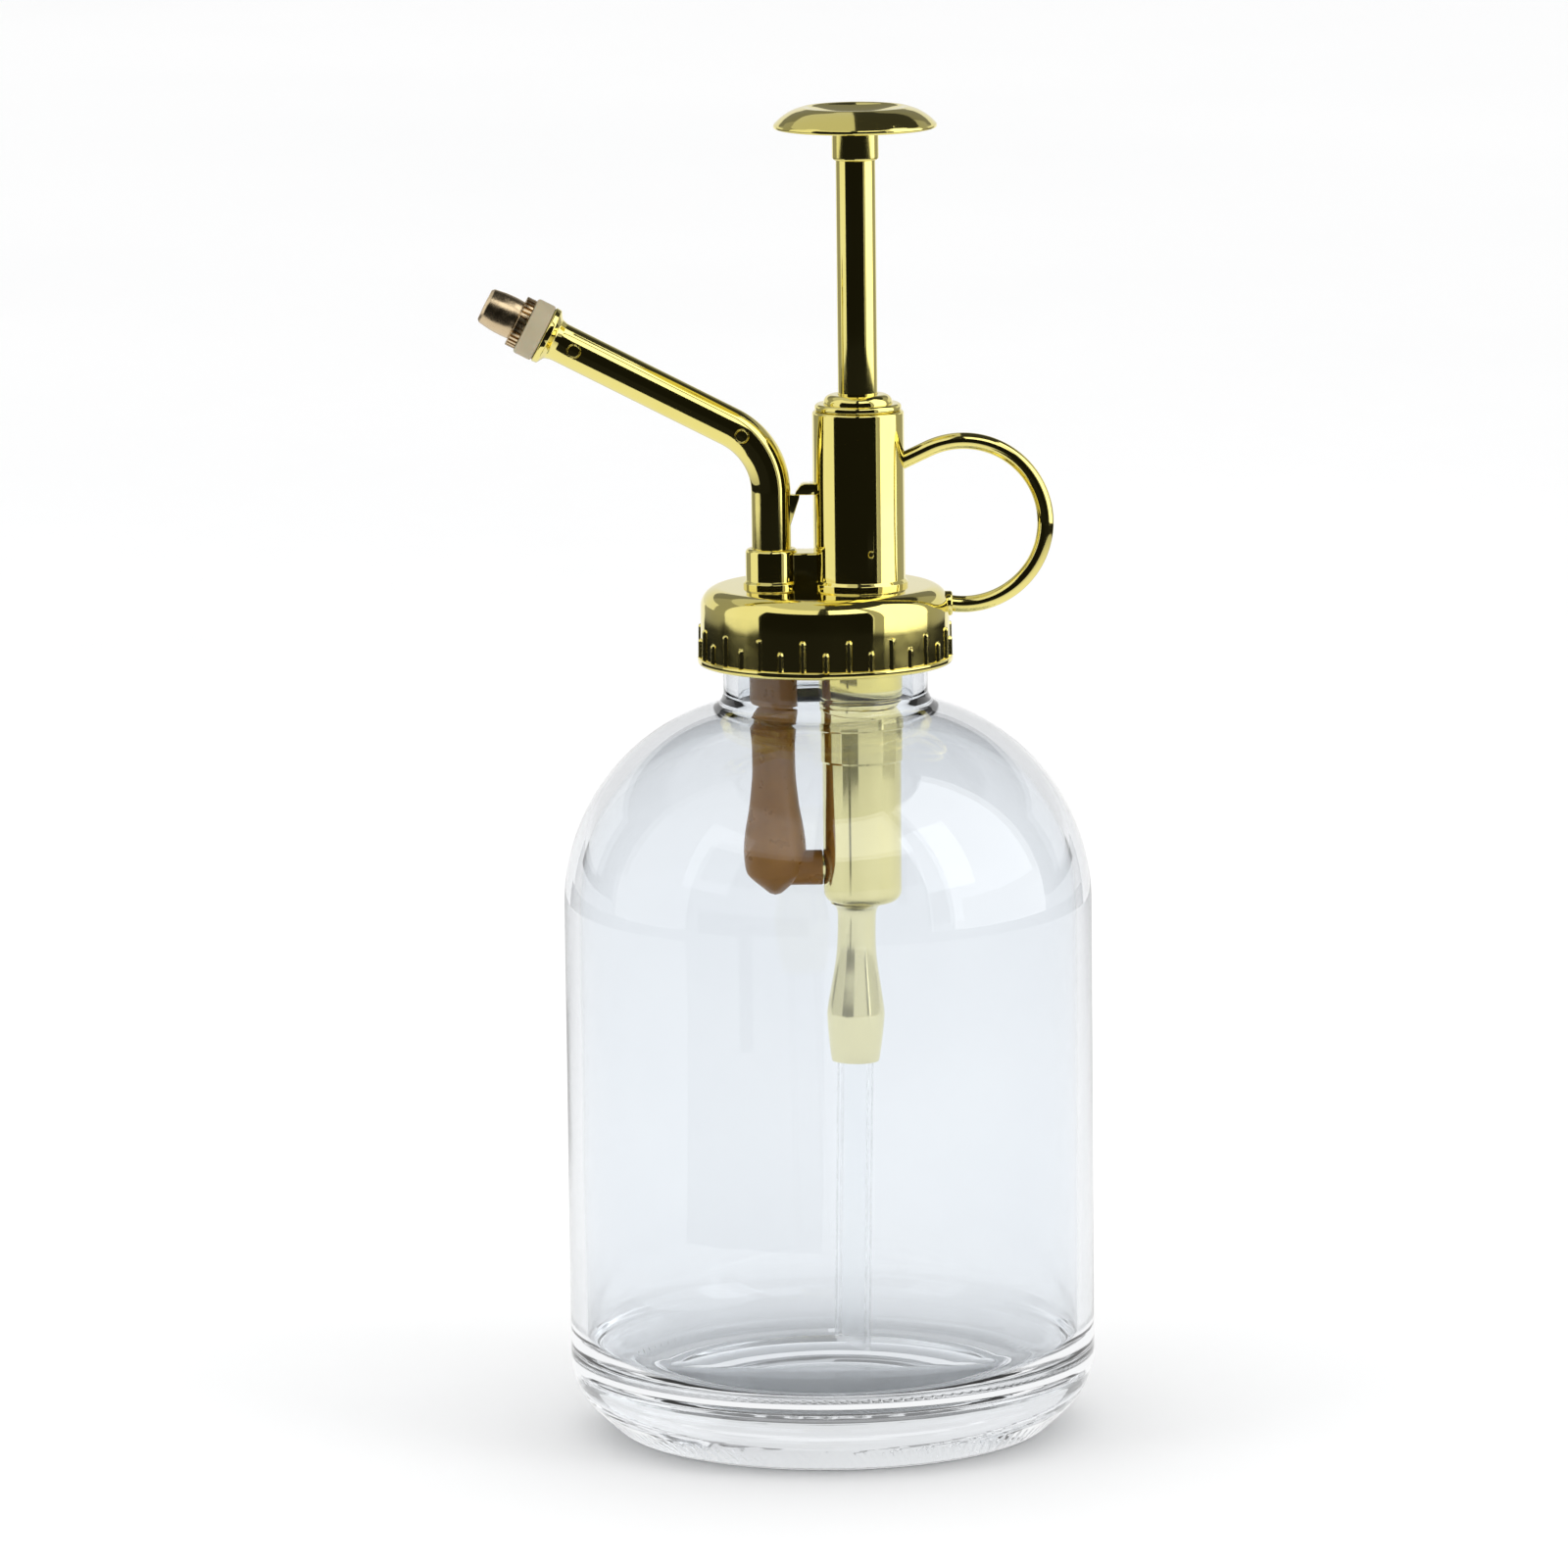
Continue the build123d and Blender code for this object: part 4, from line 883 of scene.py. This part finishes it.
# what the gold reflects: a white sheet under the object, the dark table round it, the dark studio in
# front, the lit screens on both sides and the ceiling
SHEET_EDGE = [(-180, 0.50), (-62, 0.50), (-60, 0.18), (-4, 0.18), (-2, 0.50), (180, 0.50)]
sheet = annulus("sheet", [(-180, 0.0), (180, 0.0)], SHEET_EDGE, 0.0002, 0.95)
fade_outwards(sheet, 0.10, 0.50, 0.97, 0.55)
TABLE_EDGE = [(-150, 0.86), (-116, 0.90), (-105, 0.97), (-93, 0.93), (-78, 0.93), (-66, 1.00), (44, 1.00),
              (54, 0.96), (70, 0.93), (90, 0.91), (108, 0.91), (118, 0.88), (145, 0.86)]
annulus("table", [(-150, 0.50), *SHEET_EDGE[1:-1], (145, 0.50)], TABLE_EDGE, 0.0003, 0.014)
card("front_dark", (-64, 45), (-89, 38), 0.009, (1.0, 0.98, 0.8), seen=("glossy",))
card("front_dark_high", (-64, 45), (22, 42), 0.16, radius=2.9, seen=("transmission",))
card("front_gap", (-8, 4), (38, 62), 0.03)
card("screen_right_edge", (46, 56), (-89, 62), 0.42)
card("screen_right", (56, 109), (-89, 62), 1.9)
card("screen_right_high", (4, 46), (38, 62), 1.7)
card("screen_left", (-106, -64), (-89, 62), 0.96)
card("screen_left_high", (-64, -8), (38, 62), 0.96)
card("grey_left", (-148, -106), (-89, 40), 0.34)
card("grey_right", (109, 148), (-89, 40), 0.38)
card("back_wall", (125, 235), (4, 22), 0.85, radius=2.9)
card("back_high", (148, 212), (22, 40), 0.22)
card("ceiling_dark", (-8, 109), (62, 74), 0.04)
card("ceiling_left_front", (-106, -8), (62, 74), 0.6)
card("ceiling_left", (-180, 0), (74, 90), 0.6)
card("ceiling_right", (0, 180), (74, 90), 0.04)
card("ceiling_back_right", (109, 180), (40, 74), 0.04)
card("ceiling_back_left", (180, 254), (40, 74), 0.6)
# what the pump inside the bottle reflects: a dark strip and a grey panel near it, and a light wall each side
card("inner_strip", (-39, -33), (-20, 14), 0.15, radius=0.35, seen=("transmission",))
card("inner_panel", (-58, -9), ((7, 8.5), 18), 0.25, radius=0.35, seen=("transmission",))
card("inner_side_left", (-112, -62), (0, 14), 0.82, radius=0.9, seen=("transmission",))
card("inner_side_right", (62, 112), (0, 14), 0.82, radius=0.9, seen=("transmission",))

world = bpy.data.worlds.new("studio")
bpy.context.scene.world = world
world.use_nodes = True
world.node_tree.nodes["Background"].inputs["Color"].default_value = (1.0, 1.0, 1.0, 1)
world.node_tree.nodes["Background"].inputs["Strength"].default_value = 1.0


def softbox(name, where, aim, width, height, power):
    """A rectangular area light pointing at aim."""
    light = bpy.data.lights.new(name, "AREA")
    light.shape = "RECTANGLE"
    light.size = width
    light.size_y = height
    light.energy = power
    lamp = bpy.data.objects.new(name, light)
    lamp.location = where
    lamp.rotation_mode = "QUATERNION"
    lamp.rotation_quaternion = (Vector(aim) - Vector(where)).to_track_quat("-Z", "Y")
    lamp.visible_glossy = False
    bpy.context.scene.collection.objects.link(lamp)


softbox("softbox_left", (-0.95, -0.55, 0.75), (0, 0, 0.08), 0.55, 0.75, 1.5)
softbox("softbox_right", (0.95, -0.55, 0.75), (0, 0, 0.08), 0.55, 0.75, 2.5)

# -------------------------------------------------------------------------------------- camera
CAMERA = Vector((-6.07, -1384.5, 319.9)) * MM
TARGET = Vector((-6.07, 0, 93.0)) * MM
ROLL = math.radians(0.66)
SENSOR_WIDTH, FOCAL_LENGTH = 36.0, 226.7
lens = bpy.data.cameras.new("camera")
lens.sensor_width = SENSOR_WIDTH
lens.lens = FOCAL_LENGTH
lens.clip_start = 0.05
lens.clip_end = 50.0
camera = bpy.data.objects.new("camera", lens)
camera.location = CAMERA
camera.rotation_mode = "QUATERNION"
facing = (TARGET - CAMERA).to_track_quat("-Z", "Y")
camera.rotation_quaternion = (facing.to_matrix() @ Matrix.Rotation(-ROLL, 3, "Z")).to_quaternion()
bpy.context.scene.collection.objects.link(camera)
bpy.context.scene.camera = camera
bpy.context.scene.view_settings.view_transform = "Standard"
